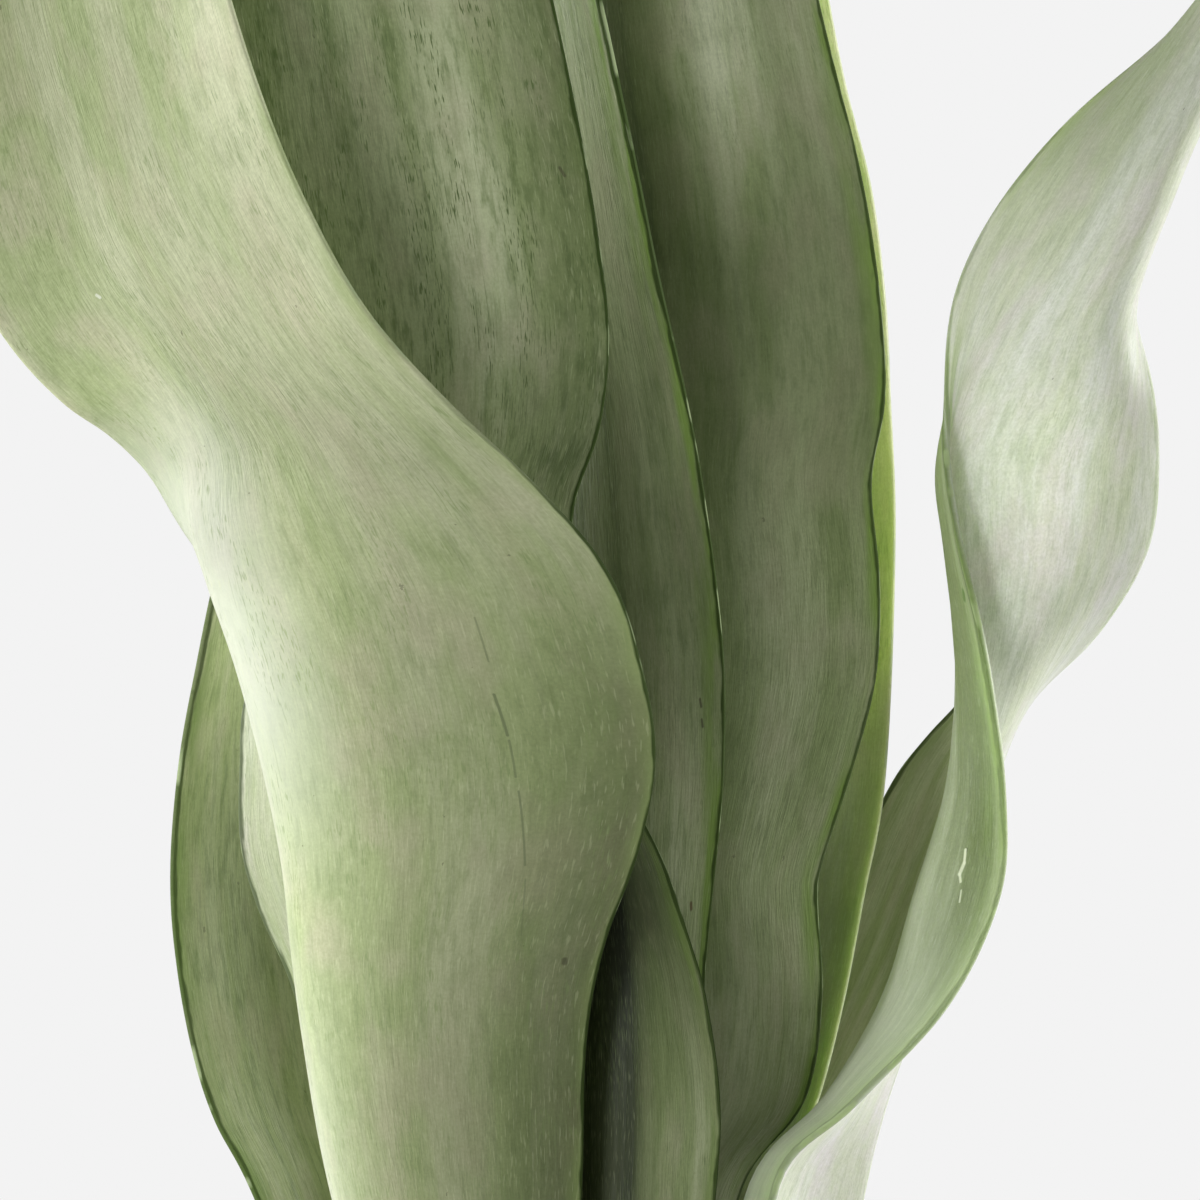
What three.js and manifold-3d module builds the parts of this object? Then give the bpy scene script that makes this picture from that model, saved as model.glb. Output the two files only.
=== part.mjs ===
// A potted snake plant of the pale 'moonshine' kind: twelve strap leaves in soil in a plain pot.
// Millimetres, +Z up. The origin is the middle of the pot's base, and the plant's front faces -Y.

import * as THREE from 'three';
import { mergeVertices } from 'three/addons/utils/BufferGeometryUtils.js';
import Module from 'manifold-3d';

const wasm = await Module();
wasm.setup();

// Pot
const POT_HEIGHT = 150;
const POT_BASE_RADIUS = 64;
const POT_TOP_RADIUS = 86;
const POT_WALL = 6;
const POT_FLOOR = 9;
const RIM_ROUNDING = POT_WALL / 2;
const FOOT_ROUNDING = 4;
const POT_SIDES = 64;

// Soil
const SOIL_TOP = 135;
const SOIL_CROWN = 4;
const SOIL_SIDES = 48;
const SOIL_RINGS = 4;

// Clearance between pieces that touch
const SEAT_GAP = 0.35;

// Leaves: how thick the flesh is along the middle and at the margins
const BASE_THICKNESS = 6;
const TIP_THICKNESS = 1.8;
const MARGIN_THICKNESS = 1.4;
const CELLS_PER_STATION = 2;

// Colours
const SILVER_GREEN = 0xa9b88f;
const MID_GREEN = 0x8b9d72;
const DARK_GREEN = 0x6f8260;
const SOIL_BROWN = 0x3a2c22;
const POT_WHITE = 0xe6e1d8;

// Guide curves of the broad wavy leaf in front, from its left margin to its right margin.
// The left margin curls away behind the shoulder low down and swings out at the top.
const FRONT_WAVY_GUIDES = {
  leftMargin: [
    [-43, -18, 108], [-45, -17, 150], [-50, -12, 209], [-56, -14, 243], [-58, -16, 265],
    [-61, -18, 285], [-66, -20, 305], [-73, -24, 326], [-80, -31, 342], [-88.7, -45.4, 355],
    [-96.2, -46.6, 367.1], [-104.6, -47.3, 375.2], [-114.8, -48, 382.3], [-126.6, -49.2, 395.3],
    [-138.1, -50.5, 416.1], [-146.5, -51.7, 445.7], [-151.3, -49.7, 480.4], [-152.5, -49, 516.4],
    [-147.9, -53.4, 553.8], [-133, -66, 599],
  ],
  shoulder: [
    [-37.1, -29, 107.7], [-39.1, -29, 149.7], [-56, -33, 211.1], [-62.1, -34.5, 243.9],
    [-65.1, -35.5, 265.9], [-67.1, -37.1, 284.9], [-71.1, -40.1, 305.9], [-76.2, -42.7, 326],
    [-81.3, -44.2, 342], [-84, -53.8, 357], [-84, -57.6, 370], [-89.3, -56.8, 381.1],
    [-97.4, -54.4, 392.2], [-108.6, -51.3, 408.4], [-116.5, -50.8, 429.4], [-125.3, -50, 457.3],
    [-131.2, -50, 489.2], [-135.2, -51.9, 523.3], [-136.1, -57.4, 558.1], [-132.4, -66.4, 599.4],
  ],
  crown: [
    [-29.4, -35.1, 108.9], [-30.8, -35, 150.7], [-42.2, -41.6, 211.6], [-46.3, -45.8, 244.7],
    [-47.5, -48.6, 266.6], [-47.1, -51.2, 285.4], [-49, -54.5, 306.3], [-53.5, -57.3, 326.1],
    [-59, -59.4, 343], [-65.2, -62.4, 358.7], [-70.3, -61.2, 373.1], [-78.7, -58.9, 386.3],
    [-87.9, -56.2, 400], [-98.5, -54, 417.4], [-106.5, -52.1, 439.2], [-114.7, -50.8, 466.2],
    [-120.5, -51.9, 495.7], [-125.6, -54.6, 527.4], [-128.8, -59.9, 559.6], [-132.1, -66.5, 599.5],
  ],
  middle: [
    [-19.6, -35.3, 107.7], [-20.4, -35.5, 149.8], [-24.9, -40.1, 209.9], [-26.7, -43.8, 243.6],
    [-25.5, -46.9, 265.7], [-22.1, -49.8, 284.8], [-21.3, -53.1, 305.8], [-25.1, -56.9, 325.9],
    [-31.2, -61.3, 344.4], [-41.3, -65.2, 361.2], [-52.8, -62.7, 377.2], [-65, -61.3, 393],
    [-75.5, -59.7, 410.1], [-85.3, -57.1, 429.1], [-93.4, -54.2, 452], [-100.5, -54.6, 477.5],
    [-106.5, -56.2, 504.1], [-112.8, -58.9, 532.6], [-119.1, -62.7, 561.5], [-131.7, -66.7, 599.7],
  ],
  rightMargin: [
    [-8, -26, 108], [-8, -27, 150], [-4, -30.9, 210], [-3, -34, 244.1], [1, -37.3, 266.1],
    [8, -40.3, 285.1], [12, -43.8, 306], [9, -48.2, 326], [2, -54.7, 346], [-13, -60, 363.9],
    [-31.9, -63.2, 381.9], [-48.8, -66.6, 400.8], [-60.8, -64.6, 421.8], [-69.9, -61.9, 442.8],
    [-77.8, -59.9, 466.7], [-83.9, -59.1, 490.8], [-90, -60.5, 513.9], [-98, -63.3, 539.1],
    [-108.1, -66.1, 564.1], [-131, -67, 600],
  ],
};

// Guide curves of the leaf that swings out to the right. It is folded along its left side, and its
// rear margin waves out, back behind the leaf and out again.
const TWISTED_GUIDES = {
  frontMargin: [
    [41, -25, 108], [38, -27, 150], [37, -33, 211], [54, -43, 231.9], [74.1, -51, 253.9],
    [85.1, -55, 277.9], [85.9, -56, 298], [83.7, -56, 317.1], [80.6, -55, 334], [76.7, -52, 351],
    [74.1, -47, 368], [73.5, -42, 383.3], [75.8, -38, 404.7], [85, -36, 424], [101, -36, 443.1],
    [127, -36, 465.9], [149.6, -34, 498.6], [174, -31, 524],
  ],
  fold: [
    [29, -12, 108], [28, -13, 150], [33, -19, 209.1], [49.9, -30, 231.2], [62.8, -39, 253.2],
    [68.8, -46, 276.2], [74.8, -48, 297.1], [76.8, -47, 319.1], [76.7, -45, 335],
    [75.7, -42.5, 352], [74.7, -41, 367.9], [80.3, -42, 384.9], [89.9, -43, 403], [101, -44, 422],
    [113, -44, 443], [130, -42, 469], [151, -36, 497], [174.4, -30.4, 523.7],
  ],
  crease: [
    [32, 1, 108], [33, 1, 150], [41, -3, 208.1], [54, -9, 231.1], [64.9, -14, 253.1],
    [73.8, -20, 275.2], [79.5, -30, 297.3], [86.9, -41, 315.3], [94.4, -48, 334.1],
    [99.1, -52, 350.8], [101.9, -53, 369.4], [106.5, -52, 384.2], [111, -50, 403.2],
    [119.1, -48, 421.2], [127.5, -46, 441.3], [141.2, -42, 467.5], [157.7, -36, 493.7],
    [174.8, -29.8, 523.3],
  ],
  rearMargin: [
    [47, 10, 108], [48, 10, 150], [58, 6, 207], [64, 4, 232], [71, 4, 252], [77.9, -1, 274],
    [84.9, -8, 296.1], [92.5, -20, 317.1], [107, -37, 333.1], [116.8, -49, 350.9],
    [118.8, -53, 369.7], [117.8, -49, 384.5], [114.7, -32, 402.3], [117, -21, 421.3],
    [127.2, -19, 442.4], [142.4, -22, 470.5], [157.6, -26, 495.6], [175.2, -29.2, 523],
  ],
};

// Stations of the plainly arched leaves, from the base to the tip: height, left margin x and y,
// right margin x and y, and how far the middle bows out to the front (to the back if negative).
const BEHIND_FRONT_STATIONS = [
  [108, -36, -12, -10, -9, 8], [150, -38, -12, -10, -10, 8], [209, -42, -14, -9, -15, 7],
  [253, -48, -18, -10, -15, 7], [297, -54, -23, -8, -19, 7], [329, -61, -27, -5, -24, 7],
  [358, -67, -29, -6, -26, 6], [377, -72, -31, 0, -28, 5], [398, -75, -33, 2, -30, 4],
  [423, -79, -34, -1, -33, 4], [450, -83, -35, -6, -36, 5], [482, -87, -37, -13, -41, 6],
  [518, -88, -41, -21, -47, 6], [554, -84, -47, -31, -53, 5], [588, -73, -55, -42, -59, 3],
  [613, -59, -63, -57, -63, 0.5],
];
const EDGE_ON_STATIONS = [
  [108, -4, -5, 18, -7, 7], [150, -5, -5, 20, -7, 7], [209, -9, -4, 20, -9, 7],
  [235, -12, -4, 22, -9, 7], [259, -15, -4, 23, -10, 7], [279, -18, -3, 25, -11, 7],
  [301, -19, -2, 27, -12, 6], [329, -19, -1, 27, -12, 5], [362, -18, 0, 23, -13, 5],
  [384, -16, 2, 19, -14, 5], [410, -15, 4, 13, -16, 5], [439, -14, 5, 7, -18, 5],
  [471, -14, 6, 0, -19, 5], [504, -18, 7, -8, -19, 4], [535, -22, 4, -15, -15, 3],
  [559, -24, -6, -22, -7, 0.5],
];
const BROAD_RIGHT_STATIONS = [
  [108, -8, 5, 22, 3, 7], [150, -8, 6, 25, 4, 7], [207, 0, 10, 30, 4, 8], [229, -1, 10, 45, 3, 8],
  [252, -1, 10, 49, 2, 8], [273, -2, 10, 48, 2, 8], [282, -3, 10, 49, 3, 8],
  [300, -4, 10, 55, 6, 7], [322, -4, 10, 61, 9, 7], [344, -5, 10, 62, 9, 7],
  [366, -6, 10, 60, 6, 7], [384, -6, 11, 63, 4, 6], [406, -8, 12, 62, 4, 6],
  [433, -9, 13, 58, 6, 6], [462, -12, 14, 51, 9, 6], [500, -14, 16, 42, 12, 6],
  [540, -16, 20, 31, 14, 5], [578, -14, 26, 19, 18, 4], [612, -8, 30, 6, 24, 2],
  [634, -3, 29, -1, 28, 0.5],
];
const REAR_RIGHT_STATIONS = [
  [108, 2, 16, 34, 14, -6], [150, 4, 17, 36, 15, -6], [206, 12, 20, 42, 18, -7],
  [233, 13, 21, 50, 18, -7], [254, 15, 22, 55, 18, -7], [275, 15, 22, 59, 18, -7],
  [295, 14, 23, 63, 19, -7], [322, 13, 25, 65, 20, -6], [358, 12, 28, 66, 22, -6],
  [385, 11, 31, 65, 24, -6], [407, 10, 34, 64, 26, -6], [432, 9, 38, 61, 29, -6],
  [457, 7, 42, 55, 33, -5], [493, 6, 49, 48, 39, -5], [532, 7, 56, 38, 48, -4],
  [566, 11, 62, 30, 57, -3], [597, 19, 68, 21, 68, -0.5],
];
const SHORT_FRONT_STATIONS = [
  [108, -4, -20, 16, -21, 5], [150, -4, -20, 19, -21, 5], [210, -8, -19, 25, -24, 6],
  [232, -8, -20, 26, -25, 6], [254, -7, -21, 23, -26, 5], [268, -6, -22, 19, -27, 4],
  [283, -5, -23, 14, -27, 3], [297, -3, -25, 7, -28, 2], [309, 0, -27, 2, -27, 0.5],
];
const LEFT_DARK_STATIONS = [
  [108, -52, 12, -28, 20, -6], [150, -55, 13, -28, 22, -6], [206, -76, 14, -40, 28, -7],
  [226, -86, 13, -42, 31, -8], [248, -92, 12, -44, 33, -8], [276, -95, 10, -47, 34, -8],
  [304, -93, 9, -49, 34, -7], [331, -88, 9, -52, 33, -7], [362, -82, 12, -57, 32, -6],
  [393, -80, 16, -63, 31, -5], [422, -81, 21, -71, 30, -3], [446, -82, 27, -80, 28, -0.5],
];
const LEFT_PALE_STATIONS = [
  [108, -52, 0, -28, 2, 5], [150, -53, 0, -27, 2, 5], [208, -56, 0, -29, 4, 6],
  [234, -62, -1, -32, 4, 6], [256, -68, -2, -35, 4, 6], [272, -75, -3, -37, 3, 6],
  [287, -79, -4, -40, 2, 5], [305, -79, -5, -42, 1, 5], [318, -78, -6, -44, 0, 5],
  [336, -72, -7, -47, -2, 4], [358, -69, -8, -53, -5, 3], [379, -66, -10, -64, -11, 0.5],
];
const LEANING_STATIONS = [
  [108, 34, 34, 56, 26, -6], [150, 34, 36, 58, 27, -6], [207, 27, 36, 56, 32, -6],
  [233, 38, 36, 63, 31, -6], [256, 47, 36, 74, 29, -6], [276, 55, 35, 81, 26, -6],
  [298, 65, 33, 87, 23, -5], [309, 73, 31, 89, 21, -4], [318, 81, 28, 92, 20, -3],
  [332, 91, 24, 97, 18, -2], [346, 98, 18, 100, 18, -0.5],
];
const BACK_TALL_STATIONS = [
  [108, -24, 34, 2, 36, -7], [150, -26, 35, 2, 37, -7], [210, -34, 41, 6, 44, -8],
  [270, -42, 46, 12, 52, -8], [330, -45, 51, 16, 60, -8], [390, -44, 56, 16, 68, -7],
  [450, -40, 62, 12, 76, -6], [510, -34, 72, 6, 84, -5], [550, -26, 82, -2, 89, -4],
  [580, -15, 92, -13, 93, -0.5],
];
const BACK_SHORT_STATIONS = [
  [108, 8, 44, 32, 46, -6], [150, 9, 47, 34, 49, -6], [210, 12, 54, 40, 62, -7],
  [270, 18, 62, 46, 76, -7], [330, 25, 71, 52, 90, -7], [380, 33, 82, 54, 100, -5],
  [420, 42, 95, 54, 106, -3], [446, 50, 108, 52, 109, -0.5],
];

function guideCurve(points) {
  const corners = points.map(([x, y, z]) => new THREE.Vector3(x, y, z));
  return new THREE.CatmullRomCurve3(corners, false, 'catmullrom', 0.5);
}

function archedGuides(stations) {
  const leftMargin = [];
  const middle = [];
  const rightMargin = [];
  for (const [z, xLeft, yLeft, xRight, yRight, bow] of stations) {
    const width = Math.hypot(xRight - xLeft, yRight - yLeft);
    const across = { x: (xRight - xLeft) / width, y: (yRight - yLeft) / width };
    leftMargin.push([xLeft, yLeft, z]);
    middle.push([
      (xLeft + xRight) / 2 + bow * across.y,
      (yLeft + yRight) / 2 - bow * across.x,
      z,
    ]);
    rightMargin.push([xRight, yRight, z]);
  }
  return { leftMargin, middle, rightMargin };
}

// The middle surface of a leaf: rows of points from the base to the tip, each row from the left
// margin to the right margin along one smooth curve through the guides.
function leafRows(guides, cellsAcross) {
  const curves = Object.values(guides).map(guideCurve);
  const stationCount = Object.values(guides)[0].length;
  const rowCount = (stationCount - 1) * CELLS_PER_STATION + 1;
  const rows = [];
  for (let i = 0; i < rowCount; i += 1) {
    const along = i / (rowCount - 1);
    const section = guideCurve(curves.map((curve) => curve.getPoint(along).toArray()));
    const row = [];
    for (let j = 0; j <= cellsAcross; j += 1) {
      row.push(section.getPoint(j / cellsAcross));
    }
    rows.push(row);
  }
  return rows;
}

function surfaceNormal(rows, i, j) {
  const below = rows[Math.max(i - 1, 0)][j];
  const above = rows[Math.min(i + 1, rows.length - 1)][j];
  const toLeft = rows[i][Math.max(j - 1, 0)];
  const toRight = rows[i][Math.min(j + 1, rows[i].length - 1)];
  const up = above.clone().sub(below);
  const across = toRight.clone().sub(toLeft);
  return across.cross(up).normalize();
}

// Half the thickness of the leaf: fleshy at the base, thinner to the tip and to both margins.
function halfThickness(along, across) {
  const middle = THREE.MathUtils.lerp(TIP_THICKNESS, BASE_THICKNESS, (1 - along) ** 1.5);
  const fromMiddle = (2 * across - 1) ** 2;
  return THREE.MathUtils.lerp(middle, MARGIN_THICKNESS, fromMiddle) / 2;
}

// A closed leaf: a front face and a back face split into the same triangles, and a narrow wall
// round both.
function leafGeometry(guides, cellsAcross) {
  const rows = leafRows(guides, cellsAcross);
  const columns = cellsAcross + 1;
  const last = rows.length - 1;
  const positions = [];
  for (const side of [1, -1]) {
    rows.forEach((row, i) => row.forEach((point, j) => {
      const offset = side * halfThickness(i / last, j / cellsAcross);
      positions.push(...point.clone().addScaledVector(surfaceNormal(rows, i, j), offset).toArray());
    }));
  }
  const front = (i, j) => i * columns + j;
  const back = (i, j) => rows.length * columns + i * columns + j;
  const index = [];
  const quad = (a, b, c, d) => index.push(a, b, c, a, c, d);
  for (let i = 0; i < last; i += 1) {
    for (let j = 0; j < cellsAcross; j += 1) {
      index.push(front(i, j), front(i, j + 1), front(i + 1, j + 1));
      index.push(front(i, j), front(i + 1, j + 1), front(i + 1, j));
      index.push(back(i, j), back(i + 1, j + 1), back(i, j + 1));
      index.push(back(i, j), back(i + 1, j), back(i + 1, j + 1));
    }
    quad(back(i, 0), front(i, 0), front(i + 1, 0), back(i + 1, 0));
    quad(front(i, cellsAcross), back(i, cellsAcross), back(i + 1, cellsAcross), front(i + 1, cellsAcross));
  }
  for (let j = 0; j < cellsAcross; j += 1) {
    quad(back(0, j), back(0, j + 1), front(0, j + 1), front(0, j));
    quad(front(last, j), front(last, j + 1), back(last, j + 1), back(last, j));
  }
  const geometry = new THREE.BufferGeometry();
  geometry.setAttribute('position', new THREE.Float32BufferAttribute(positions, 3));
  geometry.setIndex(index);
  return geometry;
}

// Pushes every vertex of a leaf out along its normal, which gives the shape of its hole in the soil.
function grownGeometry(geometry, distance) {
  const grown = geometry.clone();
  grown.computeVertexNormals();
  const position = grown.getAttribute('position');
  const normal = grown.getAttribute('normal');
  for (let k = 0; k < position.count; k += 1) {
    position.setXYZ(
      k,
      position.getX(k) + normal.getX(k) * distance,
      position.getY(k) + normal.getY(k) * distance,
      position.getZ(k) + normal.getZ(k) * distance,
    );
  }
  return grown;
}

function solidFrom(geometry) {
  const plain = geometry.clone();
  plain.deleteAttribute('normal');
  plain.deleteAttribute('uv');
  const merged = mergeVertices(plain, 1e-4);
  const corners = merged.getIndex().array;
  const triangles = [];
  for (let k = 0; k < corners.length; k += 3) {
    const [a, b, c] = corners.slice(k, k + 3);
    if (a !== b && b !== c && c !== a) {
      triangles.push(a, b, c);
    }
  }
  return new wasm.Manifold(new wasm.Mesh({
    numProp: 3,
    vertProperties: new Float32Array(merged.getAttribute('position').array),
    triVerts: new Uint32Array(triangles),
  }));
}

function geometryFrom(solid) {
  const mesh = solid.getMesh();
  const geometry = new THREE.BufferGeometry();
  geometry.setAttribute('position', new THREE.BufferAttribute(mesh.vertProperties, 3));
  geometry.setIndex(new THREE.BufferAttribute(mesh.triVerts, 1));
  return geometry;
}

// A turned shape, from [radius, height] corners that start and end on the axis.
function turned(profile, sides) {
  const corners = profile.map(([radius, height]) => new THREE.Vector2(radius, height));
  return new THREE.LatheGeometry(corners, sides).rotateX(Math.PI / 2);
}

function potOuterRadius(height) {
  return THREE.MathUtils.lerp(POT_BASE_RADIUS, POT_TOP_RADIUS, height / POT_HEIGHT);
}

function potInnerRadius(height) {
  return potOuterRadius(height) - POT_WALL;
}

function arc(centreRadius, centreHeight, radius, fromDegrees, toDegrees, steps) {
  const corners = [];
  for (let k = 0; k <= steps; k += 1) {
    const angle = THREE.MathUtils.degToRad(THREE.MathUtils.lerp(fromDegrees, toDegrees, k / steps));
    corners.push([
      centreRadius + radius * Math.cos(angle),
      centreHeight + radius * Math.sin(angle),
    ]);
  }
  return corners;
}

function potGeometry() {
  const rimHeight = POT_HEIGHT - RIM_ROUNDING;
  const rimRadius = potOuterRadius(rimHeight) - RIM_ROUNDING;
  const footRadius = potOuterRadius(FOOT_ROUNDING) - FOOT_ROUNDING;
  return turned([
    [0, 0],
    ...arc(footRadius, FOOT_ROUNDING, FOOT_ROUNDING, -90, 0, 4),
    ...arc(rimRadius, rimHeight, RIM_ROUNDING, 0, 180, 6),
    [potInnerRadius(POT_FLOOR), POT_FLOOR],
    [0, POT_FLOOR],
  ], POT_SIDES);
}

function soilGeometry(leafGeometries) {
  const bottom = POT_FLOOR + SEAT_GAP;
  const bottomRadius = potInnerRadius(bottom) - SEAT_GAP;
  const topRadius = potInnerRadius(SOIL_TOP) - SEAT_GAP;
  const surface = [];
  for (let k = 0; k <= SOIL_RINGS; k += 1) {
    const share = 1 - k / SOIL_RINGS;
    surface.push([topRadius * share, SOIL_TOP + SOIL_CROWN * (1 - share ** 2)]);
  }
  const plug = turned([[0, bottom], [bottomRadius, bottom], ...surface], SOIL_SIDES);
  const holes = leafGeometries.map((leaf) => solidFrom(grownGeometry(leaf, SEAT_GAP * Math.SQRT2)));
  return geometryFrom(holes.reduce((soil, hole) => soil.subtract(hole), solidFrom(plug)));
}

function piece(name, geometry, color, roughness) {
  const material = new THREE.MeshStandardMaterial({ color, roughness, metalness: 0 });
  const mesh = new THREE.Mesh(geometry, material);
  mesh.name = name;
  return mesh;
}

const LEAVES = [
  ['leaf_front_wavy', FRONT_WAVY_GUIDES, 9, SILVER_GREEN],
  ['leaf_behind_front', archedGuides(BEHIND_FRONT_STATIONS), 6, MID_GREEN],
  ['leaf_edge_on', archedGuides(EDGE_ON_STATIONS), 6, MID_GREEN],
  ['leaf_broad_right', archedGuides(BROAD_RIGHT_STATIONS), 6, MID_GREEN],
  ['leaf_rear_right', archedGuides(REAR_RIGHT_STATIONS), 6, MID_GREEN],
  ['leaf_twisted', TWISTED_GUIDES, 9, SILVER_GREEN],
  ['leaf_leaning', archedGuides(LEANING_STATIONS), 6, DARK_GREEN],
  ['leaf_short_front', archedGuides(SHORT_FRONT_STATIONS), 6, DARK_GREEN],
  ['leaf_left_dark', archedGuides(LEFT_DARK_STATIONS), 6, DARK_GREEN],
  ['leaf_left_pale', archedGuides(LEFT_PALE_STATIONS), 6, SILVER_GREEN],
  ['leaf_back_tall', archedGuides(BACK_TALL_STATIONS), 6, MID_GREEN],
  ['leaf_back_short', archedGuides(BACK_SHORT_STATIONS), 6, MID_GREEN],
];

const plant = new THREE.Group();
plant.name = 'potted_snake_plant';

const leafPieces = LEAVES.map(([name, guides, cellsAcross, color]) => (
  piece(name, leafGeometry(guides, cellsAcross), color, 0.55)
));
plant.add(...leafPieces);
plant.add(piece('soil', soilGeometry(leafPieces.map((leaf) => leaf.geometry)), SOIL_BROWN, 0.95));
plant.add(piece('pot', potGeometry(), POT_WHITE, 0.7));

export default plant;
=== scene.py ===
# %% [markdown]
# # A potted snake plant of the pale moonshine kind
# Twelve broad leaves stand in soil in a plain tapered pot. The photograph is a close view of the
# leaves alone: one wide, waved leaf runs down the left, darker leaves stand packed behind it, and
# one leaf swings out to the right and folds over. The CAD model gives every leaf's place and
# outline. Here each leaf, the soil and the pot get a finer form and their finish.

# %% Load the model that the plant is dressed on
import math
import random

import bpy
import numpy as np
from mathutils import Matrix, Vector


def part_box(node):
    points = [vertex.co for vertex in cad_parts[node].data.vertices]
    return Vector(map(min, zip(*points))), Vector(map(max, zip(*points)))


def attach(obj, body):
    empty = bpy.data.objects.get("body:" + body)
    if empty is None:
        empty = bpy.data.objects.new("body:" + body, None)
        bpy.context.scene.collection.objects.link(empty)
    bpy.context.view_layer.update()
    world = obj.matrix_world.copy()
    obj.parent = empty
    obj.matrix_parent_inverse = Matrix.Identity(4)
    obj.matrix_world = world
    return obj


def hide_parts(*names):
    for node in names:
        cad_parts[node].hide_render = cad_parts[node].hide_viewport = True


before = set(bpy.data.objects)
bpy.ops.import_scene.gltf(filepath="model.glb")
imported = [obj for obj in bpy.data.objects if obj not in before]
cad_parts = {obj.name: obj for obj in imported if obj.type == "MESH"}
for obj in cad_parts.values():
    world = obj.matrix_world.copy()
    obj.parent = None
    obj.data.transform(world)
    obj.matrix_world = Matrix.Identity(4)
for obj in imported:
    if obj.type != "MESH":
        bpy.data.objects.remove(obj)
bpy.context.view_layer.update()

# %% [markdown]
# ## The camera
# The photograph looks straight and level at the leaves from the front, with almost no
# perspective. A long lens a metre and a half away gives the same flat look. It is aimed at the
# middle of the leaves, so the pot and the leaf tips fall outside the picture, as they do there.

# %% Place the camera
CAMERA_DISTANCE = 1.5
CAMERA_HEIGHT = 0.34
PICTURE_WIDTH = 0.264
SENSOR_WIDTH = 36.0

bpy.ops.object.camera_add(
    location=(0, -CAMERA_DISTANCE, CAMERA_HEIGHT), rotation=(math.radians(90), 0, 0))
camera = bpy.context.object
camera.name = "photograph_camera"
camera.data.sensor_width = SENSOR_WIDTH
camera.data.lens = SENSOR_WIDTH * CAMERA_DISTANCE / PICTURE_WIDTH
bpy.context.scene.camera = camera
print("lens", round(camera.data.lens, 1), "mm")

# %% [markdown]
# ## The light
# The leaves' left edges glow and their right sides fall into shade, so a soft panel stands low
# down and square to the left. A second one nearer to the camera and a weak one from the front
# right open the shadows of the inner leaves. Two stand a little behind the plant: the left one
# draws rims, and the strong right one lights the twisted leaf. The studio round the plant is
# pale to look at but gives little light of its own, which keeps the shade between the leaves deep.

# %% Hang the soft panels and set the pale studio round them
LEAF_MIDDLE = (0.0, -0.02, 0.36)
PANEL_DISTANCE = 2.4
STUDIO_SEEN = 0.896
STUDIO_LIGHT = 0.16

# name: (degrees to the left of the camera, degrees up, metres wide and high, watts)
PANELS = {
    "window_light": (89, 5, 1.0, 38),
    "side_light": (48, 8, 1.0, 23),
    "front_light": (-25, 20, 1.3, 4),
    "left_rim_light": (115, 10, 0.8, 12),
    "right_rim_light": (-100, 15, 0.9, 50),
}


def soft_panel(name, azimuth, elevation, side, watts):
    """A square softbox aimed at the leaves."""
    azimuth, elevation = math.radians(azimuth), math.radians(elevation)
    flat = PANEL_DISTANCE * math.cos(elevation)
    place = (
        LEAF_MIDDLE[0] - flat * math.sin(azimuth),
        LEAF_MIDDLE[1] - flat * math.cos(azimuth),
        LEAF_MIDDLE[2] + PANEL_DISTANCE * math.sin(elevation),
    )
    turn = (math.pi / 2 - elevation, 0, -azimuth)
    bpy.ops.object.light_add(type="AREA", location=place, rotation=turn)
    panel = bpy.context.object
    panel.name = name
    panel.data.shape = "SQUARE"
    panel.data.size = side
    panel.data.energy = watts
    panel.visible_camera = False
    print(name, "at", [round(v, 2) for v in place])


for name, setting in PANELS.items():
    soft_panel(name, *setting)

world = bpy.data.worlds.new("pale_studio")
world.use_nodes = True
bpy.context.scene.world = world
studio = world.node_tree
background = studio.nodes["Background"]
path = studio.nodes.new("ShaderNodeLightPath")
brightness = studio.nodes.new("ShaderNodeMapRange")
brightness.inputs["To Min"].default_value = STUDIO_LIGHT
brightness.inputs["To Max"].default_value = STUDIO_SEEN
studio.links.new(path.outputs["Is Camera Ray"], brightness.inputs["Value"])
studio.links.new(brightness.outputs["Result"], background.inputs["Strength"])
background.inputs["Color"].default_value = (1, 1, 1, 1)
bpy.context.scene.view_settings.view_transform = "Standard"
bpy.context.scene.view_settings.look = "None"

# %% [markdown]
# ## Wiring the finishes
# Every finish below is made of nodes. A few small helpers keep the wiring short. The first adds a
# node and fills its sockets, the next ones do sums and mix colours, and grain draws a noise out
# along a surface, which is the start of every streak in the leaves.

# %% Helpers for the node trees
def add_node(tree, kind, sockets=None, **settings):
    """Adds a node. A socket is given a number, a colour or another node's output."""
    node = tree.nodes.new(kind)
    for name, value in settings.items():
        setattr(node, name, value)
    for name, value in (sockets or {}).items():
        if isinstance(value, bpy.types.NodeSocket):
            tree.links.new(value, node.inputs[name])
        else:
            node.inputs[name].default_value = value
    return node


def sum_of(tree, operation, first, second=0.0):
    return add_node(
        tree, "ShaderNodeMath", {0: first, 1: second}, operation=operation).outputs[0]


def share(tree, value, low, high, out_low=0.0, out_high=1.0):
    """Turns a value between low and high into a share between out_low and out_high."""
    return add_node(tree, "ShaderNodeMapRange", {
        "Value": value, "From Min": low, "From Max": high,
        "To Min": out_low, "To Max": out_high,
    }).outputs["Result"]


def blend(tree, factor, first, second, how="MIX"):
    """Mixes two colours, each a socket or (red, green, blue)."""
    mix = add_node(tree, "ShaderNodeMix", {0: factor}, data_type="RGBA", blend_type=how)
    for socket, colour in ((mix.inputs[6], first), (mix.inputs[7], second)):
        if isinstance(colour, bpy.types.NodeSocket):
            tree.links.new(colour, socket)
        else:
            socket.default_value = (*colour, 1)
    return mix.outputs[2]


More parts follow.
